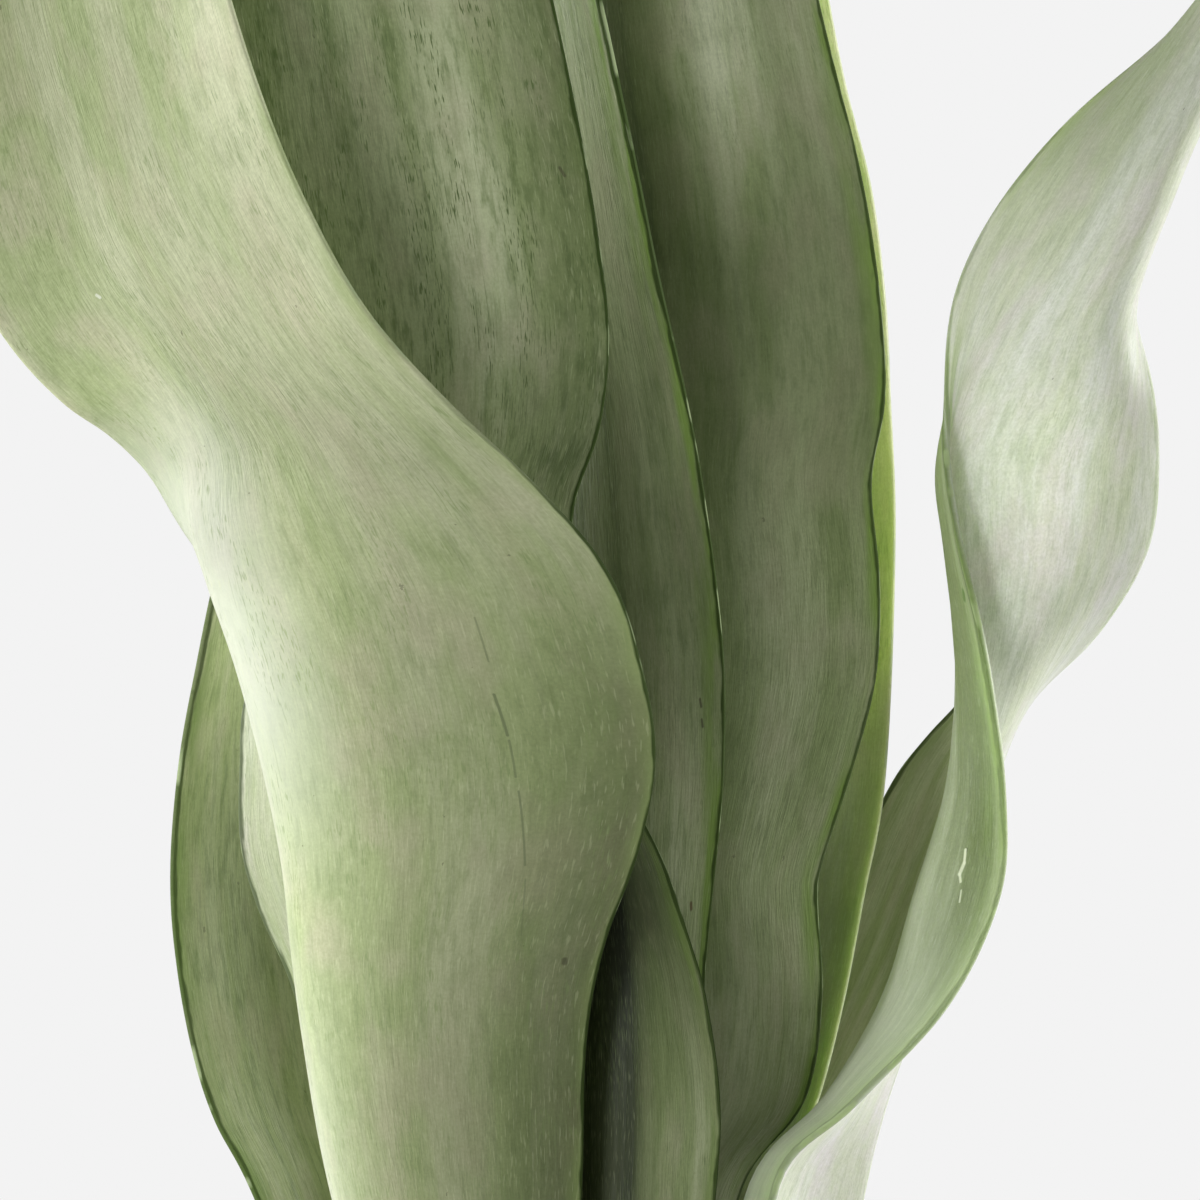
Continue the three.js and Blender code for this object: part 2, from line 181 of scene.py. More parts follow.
def grain(tree, place, size, detail=2.0, rough=0.5, offset=(0, 0, 0)):
    """Noise whose blotches measure size, in the units of place, along each direction."""
    mapping = add_node(tree, "ShaderNodeMapping", {
        "Vector": place, "Location": offset, "Scale": [1 / s if s else 0 for s in size],
    })
    dimensions = "3D" if size[2] else "2D"
    return add_node(tree, "ShaderNodeTexNoise", {
        "Vector": mapping.outputs[0], "Scale": 1.0, "Detail": detail, "Roughness": rough,
    }, noise_dimensions=dimensions).outputs["Fac"]


def new_finish(name):
    """An empty material and its shader, ready for wiring."""
    material = bpy.data.materials.new(name)
    material.use_nodes = True
    tree = material.node_tree
    return material, tree, tree.nodes["Principled BSDF"]


def relief(tree, shader, height, depth):
    """Raises the surface by depth metres where height is 1."""
    bump = add_node(tree, "ShaderNodeBump", {
        "Height": height, "Strength": 1.0, "Distance": depth,
    })
    tree.links.new(bump.outputs["Normal"], shader.inputs["Normal"])


print("helpers ready")

# %% [markdown]
# ## How the leaves are drawn
# A leaf of this plant is a thick strap whose margins wave on their own. What fixes its form is a
# few long curves: its two margins and one or two lines between them. The CAD model was drawn from
# the same curves, in millimetres, so the finer leaf lies where the plain one was. The front leaf
# needs five curves and the twisted one four.

# %% The long curves of the two boldest leaves
FRONT_WAVY_GUIDES = {
    "left_margin": [
        (-43, -18, 108), (-45, -17, 150), (-50, -12, 209), (-56, -14, 243), (-58, -16, 265),
        (-61, -18, 285), (-66, -20, 305), (-73, -24, 326), (-80, -31, 342), (-88.7, -45.4, 355),
        (-96.2, -46.6, 367.1), (-104.6, -47.3, 375.2), (-114.8, -48, 382.3),
        (-126.6, -49.2, 395.3), (-138.1, -50.5, 416.1), (-146.5, -51.7, 445.7),
        (-151.3, -49.7, 480.4), (-152.5, -49, 516.4), (-147.9, -53.4, 553.8), (-133, -66, 599),
    ],
    "shoulder": [
        (-37.1, -29, 107.7), (-39.1, -29, 149.7), (-56, -33, 211.1), (-62.1, -34.5, 243.9),
        (-65.1, -35.5, 265.9), (-67.1, -37.1, 284.9), (-71.1, -40.1, 305.9), (-76.2, -42.7, 326),
        (-81.3, -44.2, 342), (-84, -53.8, 357), (-84, -57.6, 370), (-89.3, -56.8, 381.1),
        (-97.4, -54.4, 392.2), (-108.6, -51.3, 408.4), (-116.5, -50.8, 429.4),
        (-125.3, -50, 457.3), (-131.2, -50, 489.2), (-135.2, -51.9, 523.3),
        (-136.1, -57.4, 558.1), (-132.4, -66.4, 599.4),
    ],
    "crown": [
        (-29.4, -35.1, 108.9), (-30.8, -35, 150.7), (-42.2, -41.6, 211.6), (-46.3, -45.8, 244.7),
        (-47.5, -48.6, 266.6), (-47.1, -51.2, 285.4), (-49, -54.5, 306.3), (-53.5, -57.3, 326.1),
        (-59, -59.4, 343), (-65.2, -62.4, 358.7), (-70.3, -61.2, 373.1), (-78.7, -58.9, 386.3),
        (-87.9, -56.2, 400), (-98.5, -54, 417.4), (-106.5, -52.1, 439.2), (-114.7, -50.8, 466.2),
        (-120.5, -51.9, 495.7), (-125.6, -54.6, 527.4), (-128.8, -59.9, 559.6),
        (-132.1, -66.5, 599.5),
    ],
    "middle": [
        (-19.6, -35.3, 107.7), (-20.4, -35.5, 149.8), (-24.9, -40.1, 209.9),
        (-26.7, -43.8, 243.6), (-25.5, -46.9, 265.7), (-22.1, -49.8, 284.8),
        (-21.3, -53.1, 305.8), (-25.1, -56.9, 325.9), (-31.2, -61.3, 344.4),
        (-41.3, -65.2, 361.2), (-52.8, -62.7, 377.2), (-65, -61.3, 393), (-75.5, -59.7, 410.1),
        (-85.3, -57.1, 429.1), (-93.4, -54.2, 452), (-100.5, -54.6, 477.5),
        (-106.5, -56.2, 504.1), (-112.8, -58.9, 532.6), (-119.1, -62.7, 561.5),
        (-131.7, -66.7, 599.7),
    ],
    "right_margin": [
        (-8, -26, 108), (-8, -27, 150), (-4, -30.9, 210), (-3, -34, 244.1), (1, -37.3, 266.1),
        (8, -40.3, 285.1), (12, -43.8, 306), (9, -48.2, 326), (2, -54.7, 346), (-13, -60, 363.9),
        (-31.9, -63.2, 381.9), (-48.8, -66.6, 400.8), (-60.8, -64.6, 421.8),
        (-69.9, -61.9, 442.8), (-77.8, -59.9, 466.7), (-83.9, -59.1, 490.8), (-90, -60.5, 513.9),
        (-98, -63.3, 539.1), (-108.1, -66.1, 564.1), (-131, -67, 600),
    ],
}
TWISTED_GUIDES = {
    "front_margin": [
        (41, -25, 108), (38, -27, 150), (37, -33, 211), (54, -43, 231.9), (74.1, -51, 253.9),
        (85.1, -55, 277.9), (85.9, -56, 298), (83.7, -56, 317.1), (80.6, -55, 334),
        (76.7, -52, 351), (74.1, -47, 368), (73.5, -42, 383.3), (75.8, -38, 404.7),
        (85, -36, 424), (101, -36, 443.1), (127, -36, 465.9), (149.6, -34, 498.6),
        (174, -31, 524),
    ],
    "fold": [
        (29, -12, 108), (28, -13, 150), (33, -19, 209.1), (49.9, -30, 231.2), (62.8, -39, 253.2),
        (68.8, -46, 276.2), (74.8, -48, 297.1), (76.8, -47, 319.1), (76.7, -45, 335),
        (75.7, -42.5, 352), (74.7, -41, 367.9), (80.3, -42, 384.9), (89.9, -43, 403),
        (101, -44, 422), (113, -44, 443), (130, -42, 469), (151, -36, 497),
        (174.4, -30.4, 523.7),
    ],
    "crease": [
        (32, 1, 108), (33, 1, 150), (41, -3, 208.1), (54, -9, 231.1), (64.9, -14, 253.1),
        (73.8, -20, 275.2), (79.5, -30, 297.3), (86.9, -41, 315.3), (94.4, -48, 334.1),
        (99.1, -52, 350.8), (101.9, -53, 369.4), (106.5, -52, 384.2), (111, -50, 403.2),
        (119.1, -48, 421.2), (127.5, -46, 441.3), (141.2, -42, 467.5), (157.7, -36, 493.7),
        (174.8, -29.8, 523.3),
    ],
    "rear_margin": [
        (47, 10, 108), (48, 10, 150), (58, 6, 207), (64, 4, 232), (71, 4, 252), (77.9, -1, 274),
        (84.9, -8, 296.1), (92.5, -20, 317.1), (107, -37, 333.1), (116.8, -49, 350.9),
        (118.8, -53, 369.7), (117.8, -49, 384.5), (114.7, -32, 402.3), (117, -21, 421.3),
        (127.2, -19, 442.4), (142.4, -22, 470.5), (157.6, -26, 495.6), (175.2, -29.2, 523),
    ],
}

# %% [markdown]
# The other ten leaves are plainly arched. One line for each height is enough: the height, where
# the left margin is, where the right margin is, and how far the middle bows out to the front.

# %% The stations of the ten arched leaves
BEHIND_FRONT_STATIONS = [
    (108, -36, -12, -10, -9, 8), (150, -38, -12, -10, -10, 8), (209, -42, -14, -9, -15, 7),
    (253, -48, -18, -10, -15, 7), (297, -54, -23, -8, -19, 7), (329, -61, -27, -5, -24, 7),
    (358, -67, -29, -6, -26, 6), (377, -72, -31, 0, -28, 5), (398, -75, -33, 2, -30, 4),
    (423, -79, -34, -1, -33, 4), (450, -83, -35, -6, -36, 5), (482, -87, -37, -13, -41, 6),
    (518, -88, -41, -21, -47, 6), (554, -84, -47, -31, -53, 5), (588, -73, -55, -42, -59, 3),
    (613, -59, -63, -57, -63, 0.5),
]
EDGE_ON_STATIONS = [
    (108, -4, -5, 18, -7, 7), (150, -5, -5, 20, -7, 7), (209, -9, -4, 20, -9, 7),
    (235, -12, -4, 22, -9, 7), (259, -15, -4, 23, -10, 7), (279, -18, -3, 25, -11, 7),
    (301, -19, -2, 27, -12, 6), (329, -19, -1, 27, -12, 5), (362, -18, 0, 23, -13, 5),
    (384, -16, 2, 19, -14, 5), (410, -15, 4, 13, -16, 5), (439, -14, 5, 7, -18, 5),
    (471, -14, 6, 0, -19, 5), (504, -18, 7, -8, -19, 4), (535, -22, 4, -15, -15, 3),
    (559, -24, -6, -22, -7, 0.5),
]
BROAD_RIGHT_STATIONS = [
    (108, -8, 5, 22, 3, 7), (150, -8, 6, 25, 4, 7), (207, 0, 10, 30, 4, 8),
    (229, -1, 10, 45, 3, 8), (252, -1, 10, 49, 2, 8), (273, -2, 10, 48, 2, 8),
    (282, -3, 10, 49, 3, 8), (300, -4, 10, 55, 6, 7), (322, -4, 10, 61, 9, 7),
    (344, -5, 10, 62, 9, 7), (366, -6, 10, 60, 6, 7), (384, -6, 11, 63, 4, 6),
    (406, -8, 12, 62, 4, 6), (433, -9, 13, 58, 6, 6), (462, -12, 14, 51, 9, 6),
    (500, -14, 16, 42, 12, 6), (540, -16, 20, 31, 14, 5), (578, -14, 26, 19, 18, 4),
    (612, -8, 30, 6, 24, 2), (634, -3, 29, -1, 28, 0.5),
]
REAR_RIGHT_STATIONS = [
    (108, 2, 16, 34, 14, -6), (150, 4, 17, 36, 15, -6), (206, 12, 20, 42, 18, -7),
    (233, 13, 21, 50, 18, -7), (254, 15, 22, 55, 18, -7), (275, 15, 22, 59, 18, -7),
    (295, 14, 23, 63, 19, -7), (322, 13, 25, 65, 20, -6), (358, 12, 28, 66, 22, -6),
    (385, 11, 31, 65, 24, -6), (407, 10, 34, 64, 26, -6), (432, 9, 38, 61, 29, -6),
    (457, 7, 42, 55, 33, -5), (493, 6, 49, 48, 39, -5), (532, 7, 56, 38, 48, -4),
    (566, 11, 62, 30, 57, -3), (597, 19, 68, 21, 68, -0.5),
]
SHORT_FRONT_STATIONS = [
    (108, -4, -20, 16, -21, 5), (150, -4, -20, 19, -21, 5), (210, -8, -19, 25, -24, 6),
    (232, -8, -20, 26, -25, 6), (254, -7, -21, 23, -26, 5), (268, -6, -22, 19, -27, 4),
    (283, -5, -23, 14, -27, 3), (297, -3, -25, 7, -28, 2), (309, 0, -27, 2, -27, 0.5),
]
LEFT_DARK_STATIONS = [
    (108, -52, 12, -28, 20, -6), (150, -55, 13, -28, 22, -6), (206, -76, 14, -40, 28, -7),
    (226, -86, 13, -42, 31, -8), (248, -92, 12, -44, 33, -8), (276, -95, 10, -47, 34, -8),
    (304, -93, 9, -49, 34, -7), (331, -88, 9, -52, 33, -7), (362, -82, 12, -57, 32, -6),
    (393, -80, 16, -63, 31, -5), (422, -81, 21, -71, 30, -3), (446, -82, 27, -80, 28, -0.5),
]
LEFT_PALE_STATIONS = [
    (108, -52, 0, -28, 2, 5), (150, -53, 0, -27, 2, 5), (208, -56, 0, -29, 4, 6),
    (234, -62, -1, -32, 4, 6), (256, -68, -2, -35, 4, 6), (272, -75, -3, -37, 3, 6),
    (287, -79, -4, -40, 2, 5), (305, -79, -5, -42, 1, 5), (318, -78, -6, -44, 0, 5),
    (336, -72, -7, -47, -2, 4), (358, -69, -8, -53, -5, 3), (379, -66, -10, -64, -11, 0.5),
]
LEANING_STATIONS = [
    (108, 34, 34, 56, 26, -6), (150, 34, 36, 58, 27, -6), (207, 27, 36, 56, 32, -6),
    (233, 38, 36, 63, 31, -6), (256, 47, 36, 74, 29, -6), (276, 55, 35, 81, 26, -6),
    (298, 65, 33, 87, 23, -5), (309, 73, 31, 89, 21, -4), (318, 81, 28, 92, 20, -3),
    (332, 91, 24, 97, 18, -2), (346, 98, 18, 100, 18, -0.5),
]
BACK_TALL_STATIONS = [
    (108, -24, 34, 2, 36, -7), (150, -26, 35, 2, 37, -7), (210, -34, 41, 6, 44, -8),
    (270, -42, 46, 12, 52, -8), (330, -45, 51, 16, 60, -8), (390, -44, 56, 16, 68, -7),
    (450, -40, 62, 12, 76, -6), (510, -34, 72, 6, 84, -5), (550, -26, 82, -2, 89, -4),
    (580, -15, 92, -13, 93, -0.5),
]
BACK_SHORT_STATIONS = [
    (108, 8, 44, 32, 46, -6), (150, 9, 47, 34, 49, -6), (210, 12, 54, 40, 62, -7),
    (270, 18, 62, 46, 76, -7), (330, 25, 71, 52, 90, -7), (380, 33, 82, 54, 100, -5),
    (420, 42, 95, 54, 106, -3), (446, 50, 108, 52, 109, -0.5),
]

# %% [markdown]
# An arched leaf is turned into three long curves, so that all twelve can be made the same way.
# The bow is laid off at a right angle to the line between the margins.

# %% From stations to long curves
def arched_guides(stations):
    left_margin, middle, right_margin = [], [], []
    for height, x_left, y_left, x_right, y_right, bow in stations:
        width = math.hypot(x_right - x_left, y_right - y_left)
        across_x, across_y = (x_right - x_left) / width, (y_right - y_left) / width
        left_margin.append((x_left, y_left, height))
        middle.append((
            (x_left + x_right) / 2 + bow * across_y,
            (y_left + y_right) / 2 - bow * across_x,
            height,
        ))
        right_margin.append((x_right, y_right, height))
    return {"left_margin": left_margin, "middle": middle, "right_margin": right_margin}


print("the first arched leaf starts at", arched_guides(BEHIND_FRONT_STATIONS)["middle"][0])

# %% [markdown]
# ## From curves to a leaf
# Blender's grid is a flat sheet of squares. It is added once for each leaf and its points are laid
# on the surface that runs smoothly through the leaf's long curves. No edit-mode tool could follow
# a waved margin as closely, so this one step is done by sums. More columns of squares go to the
# margins, where the leaf is rounded over, than to its middle.

# %% A smooth curve through points
def smooth_curve(points, where):
    """Follows the points smoothly. 0 is the first point and 1 the second, and so on."""
    points = np.asarray(points, float)
    before = 2 * points[:1] - points[1:2]
    after = 2 * points[-1:] - points[-2:-1]
    padded = np.concatenate([before, points, after])
    where = np.asarray(where, float)
    first = np.minimum(where.astype(int), len(points) - 2)
    t = (where - first).reshape(-1, *[1] * (points.ndim - 1))
    p0, p1, p2, p3 = (padded[first + k] for k in range(4))
    slope_in, slope_out = (p2 - p0) / 2, (p3 - p1) / 2
    return (
        (2 * p1 - 2 * p2 + slope_in + slope_out) * t ** 3
        + (3 * p2 - 3 * p1 - 2 * slope_in - slope_out) * t ** 2
        + slope_in * t + p1
    )


def leaf_surface(guides, rows, shares):
    """Points on the leaf's middle surface in mm: one row for each step up, from left to right."""
    curves = np.array(list(guides.values()), float)
    stations = curves.shape[1]
    along = np.linspace(0, stations - 1, rows)
    lifted = smooth_curve(curves.transpose(1, 0, 2), along)
    across = shares * (curves.shape[0] - 1)
    return smooth_curve(lifted.transpose(1, 0, 2), across).transpose(1, 0, 2)


# %% [markdown]
# A leaf's margin is never quite true: it ripples by a few tenths of a millimetre, and the blade
# beside it is faintly dented. The ripple is a sum of a few waves, drawn by a seeded dice so that
# every run gives the same plant.

# %% Ripples for the margins
RIPPLE_DEPTH = 0.11
RIPPLE_REACH = 7.0
RIPPLE_LENGTHS = (38.0, 17.0, 8.0, 4.3)
CALM_TIP = 30


def ripple(along, dice):
    """A wavering line along the leaf, between about -1 and 1. along is in mm."""
    line = np.zeros_like(along)
    for length in RIPPLE_LENGTHS:
        phase = dice.uniform(0, 2 * math.pi)
        strength = dice.uniform(0.5, 1.0) * (length / RIPPLE_LENGTHS[0]) ** 0.5
        line += strength * np.sin(2 * math.pi * along / length + phase)
    return line / len(RIPPLE_LENGTHS) ** 0.5


# %% [markdown]
# ## Flesh on the leaf
# The sheet gets its flesh from the Solidify modifier, which follows a vertex group: thick at the
# foot and along the middle, thin at both margins. One level of Subdivision then rounds the margin.
# The leaf also carries the measures that its skin is drawn by: how far across and along a point
# lies, how far it is from the nearest margin and from the tip, and which side of the leaf it is on.

# %% Model one leaf
BASE_THICKNESS = 6.0
TIP_THICKNESS = 1.8
MARGIN_THICKNESS = 1.4
COLUMNS = 22
ROWS_PER_STATION = 5
MARGIN_CROWDING = 0.8
SKIN_WIDTH = 80.0
MM = 0.001


def only(piece):
    """Selects this piece alone, so that the next operator works on nothing else."""
    bpy.ops.object.select_all(action="DESELECT")
    piece.select_set(True)
    bpy.context.view_layer.objects.active = piece


def apply_all(piece):
    only(piece)
    for name in [modifier.name for modifier in piece.modifiers]:
        bpy.ops.object.modifier_apply(modifier=name)


def point_attribute(mesh, name, kind, values):
    attribute = mesh.attributes.new(name, kind, "POINT")
    key = "vector" if kind == "FLOAT_VECTOR" else "value"
    attribute.data.foreach_set(key, np.ascontiguousarray(values, np.float32).ravel())


def read_measures(surface):
    """Which way the surface faces, and in mm: the way from the left margin, to the nearest, and up."""
    normal = np.cross(np.gradient(surface, axis=1), np.gradient(surface, axis=0))
    normal /= np.linalg.norm(normal, axis=2, keepdims=True)
    steps = np.linalg.norm(np.diff(surface, axis=1), axis=2)
    from_left = np.concatenate([np.zeros((len(surface), 1)), np.cumsum(steps, axis=1)], axis=1)
    edge = np.minimum(from_left, from_left[:, -1:] - from_left)
    climb = np.linalg.norm(np.diff(surface[:, COLUMNS // 2], axis=0), axis=1)
    return normal, from_left, edge, np.concatenate([[0.0], np.cumsum(climb)])


def flesh_out(leaf, thickness):
    """Thickens the sheet evenly to both sides by the given mm at each point."""
    flesh = leaf.vertex_groups.new(name="flesh")
    for index, weight in enumerate(thickness / BASE_THICKNESS):
        flesh.add([index], float(weight), "REPLACE")
    solidify = leaf.modifiers.new("flesh", "SOLIDIFY")
    solidify.thickness = BASE_THICKNESS * MM
    solidify.offset = 0
    solidify.vertex_group = "flesh"
    apply_all(leaf)


def model_leaf(name, guides, seed):
    stations = len(next(iter(guides.values())))
    rows = (stations - 1) * ROWS_PER_STATION + 1
    even = np.linspace(0, 1, COLUMNS + 1)
    shares = even - MARGIN_CROWDING * np.sin(2 * math.pi * even) / (2 * math.pi)
    surface = leaf_surface(guides, rows, shares)
    normal, from_left, edge, along = read_measures(surface)
    to_tip = along[-1] - along

    dice = random.Random(seed)
    calm = np.minimum(to_tip / CALM_TIP, 1)[:, None]
    for wave, side in ((ripple(along, dice), shares < 0.5), (ripple(along, dice), shares >= 0.5)):
        near = np.exp(-edge / RIPPLE_REACH) * side[None, :] * calm
        surface = surface + normal * (RIPPLE_DEPTH * wave[:, None] * near)[..., None]

    bpy.ops.mesh.primitive_grid_add(
        x_subdivisions=COLUMNS, y_subdivisions=rows - 1, size=1, location=(0, 0, 0))
    leaf = bpy.context.object
    leaf.name = name
    flat = np.array([corner.co for corner in leaf.data.vertices])
    column = np.round((flat[:, 0] + 0.5) * COLUMNS).astype(int)
    row = np.round((flat[:, 1] + 0.5) * (rows - 1)).astype(int)
    leaf.data.vertices.foreach_set("co", (surface[row, column] * MM).ravel())
    skin_place = np.stack([shares[column] * SKIN_WIDTH, along[row], edge[row, column]], axis=1)
    point_attribute(leaf.data, "skin_place", "FLOAT_VECTOR", skin_place)
    point_attribute(leaf.data, "to_tip", "FLOAT", to_tip[row])

    share_up = np.linspace(0, 1, rows)[:, None]
    middle = TIP_THICKNESS + (BASE_THICKNESS - TIP_THICKNESS) * (1 - share_up) ** 1.5
    thickness = middle + (MARGIN_THICKNESS - middle) * (2 * shares[None, :] - 1) ** 2
    flesh_out(leaf, thickness[row, column])

    count = len(flat)
    first_side = np.array([corner.co for corner in leaf.data.vertices[:count]])
    outward = first_side / MM - surface[row, column]
    first_is_front = (outward * normal[row, column]).sum() > 0
    front = np.full(len(leaf.data.vertices), 0.0 if first_is_front else 1.0)
    front[:count] = 1.0 if first_is_front else 0.0
    point_attribute(leaf.data, "front_side", "FLOAT", front)

    rounding = leaf.modifiers.new("rounding", "SUBSURF")
    rounding.levels = rounding.render_levels = 1
    apply_all(leaf)
    leaf.vertex_groups.clear()
    bpy.ops.object.shade_smooth()
    print(f"{name}: {along[-1]:.0f} mm long, {from_left[:, -1].max():.0f} mm wide,",
          len(leaf.data.polygons), "faces")
    return leaf


# %% [markdown]
# ## The skin of a leaf
# Close up, the skin is silvery grey-green with a waxy bloom. Its pattern runs with the veins:
# soft bands of a greener tone, fine fibres across which lies a faint mottle, and short dark
# dashes that gather in patches. Towards each margin it turns a fresher green, and the margin
# itself is a dark line with a thin pale skin on parts of its edge. Each layer below is noise
# drawn out along the leaf, so all that sets it apart is its size, its detail and its own place
# in the noise.

# %% The layers of the pattern and the single colours
# name: (mm across, mm along, detail, roughness, own place)
PATTERNS = {
    "band": (13.0, 130.0, 1.0, 0.50, 0),
    "blotch": (13.0, 24.0, 2.0, 0.55, 11),
    "streak": (2.0, 24.0, 2.0, 0.60, 23),
    "fibre": (0.8, 8.0, 2.0, 0.70, 37),
    "cross": (2.6, 1.2, 1.0, 0.50, 41),
    "pore": (0.5, 0.7, 1.0, 0.60, 53),
    "mottle": (2.2, 10.0, 3.0, 0.65, 59),
    "fresh_reach": (5.0, 30.0, 1.0, 0.50, 61),
    "dash": (0.36, 3.4, 1.0, 0.50, 71),
    "pale_dash": (0.42, 4.2, 1.0, 0.50, 79),
    "dash_patch": (7.0, 24.0, 1.0, 0.50, 83),
    "hairline": (0.45, 26.0, 1.0, 0.50, 89),
    "line_width": (4.0, 12.0, 2.0, 0.60, 97),
    "flaking": (6.0, 16.0, 2.0, 0.60, 101),
}
LINE_GREEN = (0.045, 0.075, 0.018)
EDGE_CREAM = (0.34, 0.42, 0.22)
SPECK_BROWN = (0.07, 0.07, 0.03)
TIP_BROWN = (0.16, 0.11, 0.06)
SHEATH_PALE = (0.50, 0.53, 0.36)
# The white of the painted highlights on edges that catch the light.
HIGHLIGHT_WHITE = (0.69, 0.72, 0.64)
SCAR_CREAM = (0.80, 0.84, 0.68)

# %% [markdown]
# The skin is drawn on the measures that the leaf carries, not on its place in the room, so it
# follows every wave and fold. They are read once for each leaf and kept together with its
# pattern. The seed moves each leaf to its own part of the noise.

# %% What one leaf's skin is drawn on
SEED_STEP = (7.3, 3.1)


def times(tree, *values):
    """The product of two or more numbers or sockets."""
    product = values[0]
    for value in values[1:]:
        product = sum_of(tree, "MULTIPLY", product, value)
    return product


class Skin:
    """A finish in the making: its nodes, the leaf's measures and the layers of its pattern."""

    def __init__(self, name, seed):
        self.seed = seed
        self.material, self.tree, self.shader = new_finish(name)
        self.place = self.measure("skin_place", "Vector")
        self.to_tip = self.measure("to_tip", "Fac")
        self.front = self.measure("front_side", "Fac")
        split = add_node(self.tree, "ShaderNodeSeparateXYZ", {0: self.place})
        self.across, self.along, self.edge = split.outputs
        self.pattern = {}
        for layer, (wide, long, detail, rough, own) in PATTERNS.items():
            offset = (seed * SEED_STEP[0] + own, seed * SEED_STEP[1] + own, 0)
            self.pattern[layer] = grain(
                self.tree, self.place, (wide, long, 0), detail, rough, offset)

    def measure(self, name, output):
        return add_node(self.tree, "ShaderNodeAttribute", attribute_name=name).outputs[output]

    def by_side(self, pair):
        """One value on the leaf's left half and another on its right."""
        return share(self.tree, self.across, SKIN_WIDTH * 0.45, SKIN_WIDTH * 0.55, *pair)


# %% [markdown]
# First comes the ground tone. It goes to and fro between silver and green in long bands, with
# pinkish grey clouds, and the dark mottle gathers in blotches. The back of a leaf keeps to one
# tone of its own.

# %% The ground tone
def ground_tone(skin, tones, deep, mottled):
    silver, green, _, under = tones
    tree, pattern = skin.tree, skin.pattern
    greener = sum_of(
        tree, "ADD", times(tree, pattern["band"], 0.78), times(tree, pattern["streak"], 0.22))
    tone = blend(tree, share(tree, greener, 0.40, 0.60), silver, green)
    pinkish = [1.02 * silver[0], 0.93 * silver[1], 1.02 * silver[2]]
    tone = blend(tree, share(tree, pattern["blotch"], 0.48, 0.70, 0.0, 0.6), tone, pinkish)
    back = blend(tree, share(tree, greener, 0.40, 0.60, 0.0, 0.35), under, green)
    tone = blend(tree, skin.front, back, tone)
    darker = times(tree, share(tree, pattern["mottle"], 0.48, 0.68, 0.0, mottled),
                   share(tree, pattern["blotch"], 0.60, 0.42, 0.35, 1.0))
    return blend(tree, darker, tone, deep)


# %% [markdown]
# Then all fine layers lighten and darken that tone, and so do the leaf's soft patches. Most of
# these are painted shade and painted light: painted shadows where a neighbouring leaf shades
# this one, and sides made darker or lighter as they turn away from the lamps or towards them. A
# few only strengthen the leaf's own silver bands. A patch is a rectangle on the skin with wide
# soft sides. Darker skin is also a little greener, so the three channels are weighed apart.

# %% Pattern, painted light and painted shade on the skin
SOFT_ACROSS = 7.0
SOFT_ALONG = 22.0
FINE_LAYERS = {
    "streak": (0.97, 1.03), "fibre": (0.955, 1.04), "cross": (0.975, 1.02),
    "pore": (0.94, 1.05), "mottle": (1.05, 0.94),
}


def soft_patch(skin, left, right, lower, upper):
    """1 inside a patch of the skin and 0 outside, with soft sides."""
    tree = skin.tree
    return times(
        tree,
        share(tree, skin.across, left - SOFT_ACROSS, left + SOFT_ACROSS),
        share(tree, skin.across, right + SOFT_ACROSS, right - SOFT_ACROSS),
        share(tree, skin.along, lower - SOFT_ALONG, lower + SOFT_ALONG),
        share(tree, skin.along, upper + SOFT_ALONG, upper - SOFT_ALONG),
    )


def pattern_and_painted_shading(skin, tone, painted_shading_and_bands):
    tree = skin.tree
    layers = [share(tree, skin.pattern[name], 0.3, 0.7, low, high)
              for name, (low, high) in FINE_LAYERS.items()]
    # Each soft patch is painted shade (gain below 1) or painted light (gain above 1), bar a few silver
    # bands.
    layers += [share(tree, soft_patch(skin, *patch), 0.0, 1.0, 1.0, gain) for *patch, gain in painted_shading_and_bands]
    weight = times(tree, *layers)
    weights = add_node(tree, "ShaderNodeCombineColor", {
        0: weight, 1: sum_of(tree, "POWER", weight, 0.92), 2: sum_of(tree, "POWER", weight, 1.2),
    }).outputs[0]
    return blend(tree, 1.0, tone, weights, "MULTIPLY")


# %% [markdown]
# A fresh green runs in from the margins, farther here and less far there. In a few patches the
# skin is painted whiter: a painted highlight on edges that catch the light.

# %% Fresh green and painted highlights
MARGIN_ZONE = 6.5


def fresh_green_and_painted_highlights(skin, tone, fresh, zone, painted_highlights):
    tree = skin.tree
    inward = sum_of(tree, "POWER", share(tree, skin.edge, 0.6, MARGIN_ZONE, 1.0, 0.0), 1.4)
    reach = share(tree, skin.pattern["fresh_reach"], 0.35, 0.65, 0.15, 1.25)
    amount = times(tree, inward, reach, skin.by_side(zone))
    amount = add_node(tree, "ShaderNodeClamp", {"Value": amount}).outputs[0]
    tone = blend(tree, amount, tone, fresh)
    # Painted highlight: these patches whiten the skin where an edge catches the light.
    for *patch, strength in painted_highlights:
        tone = blend(tree, times(tree, soft_patch(skin, *patch), strength), tone, HIGHLIGHT_WHITE)
    return tone


# %% [markdown]
# Age leaves its marks: pale and dark dashes along the veins, a few longer hairlines, and brown
# specks, one for some of the cells of a wide net.

# %% Dashes, hairlines and specks
SPECK_SPACING = 16.0


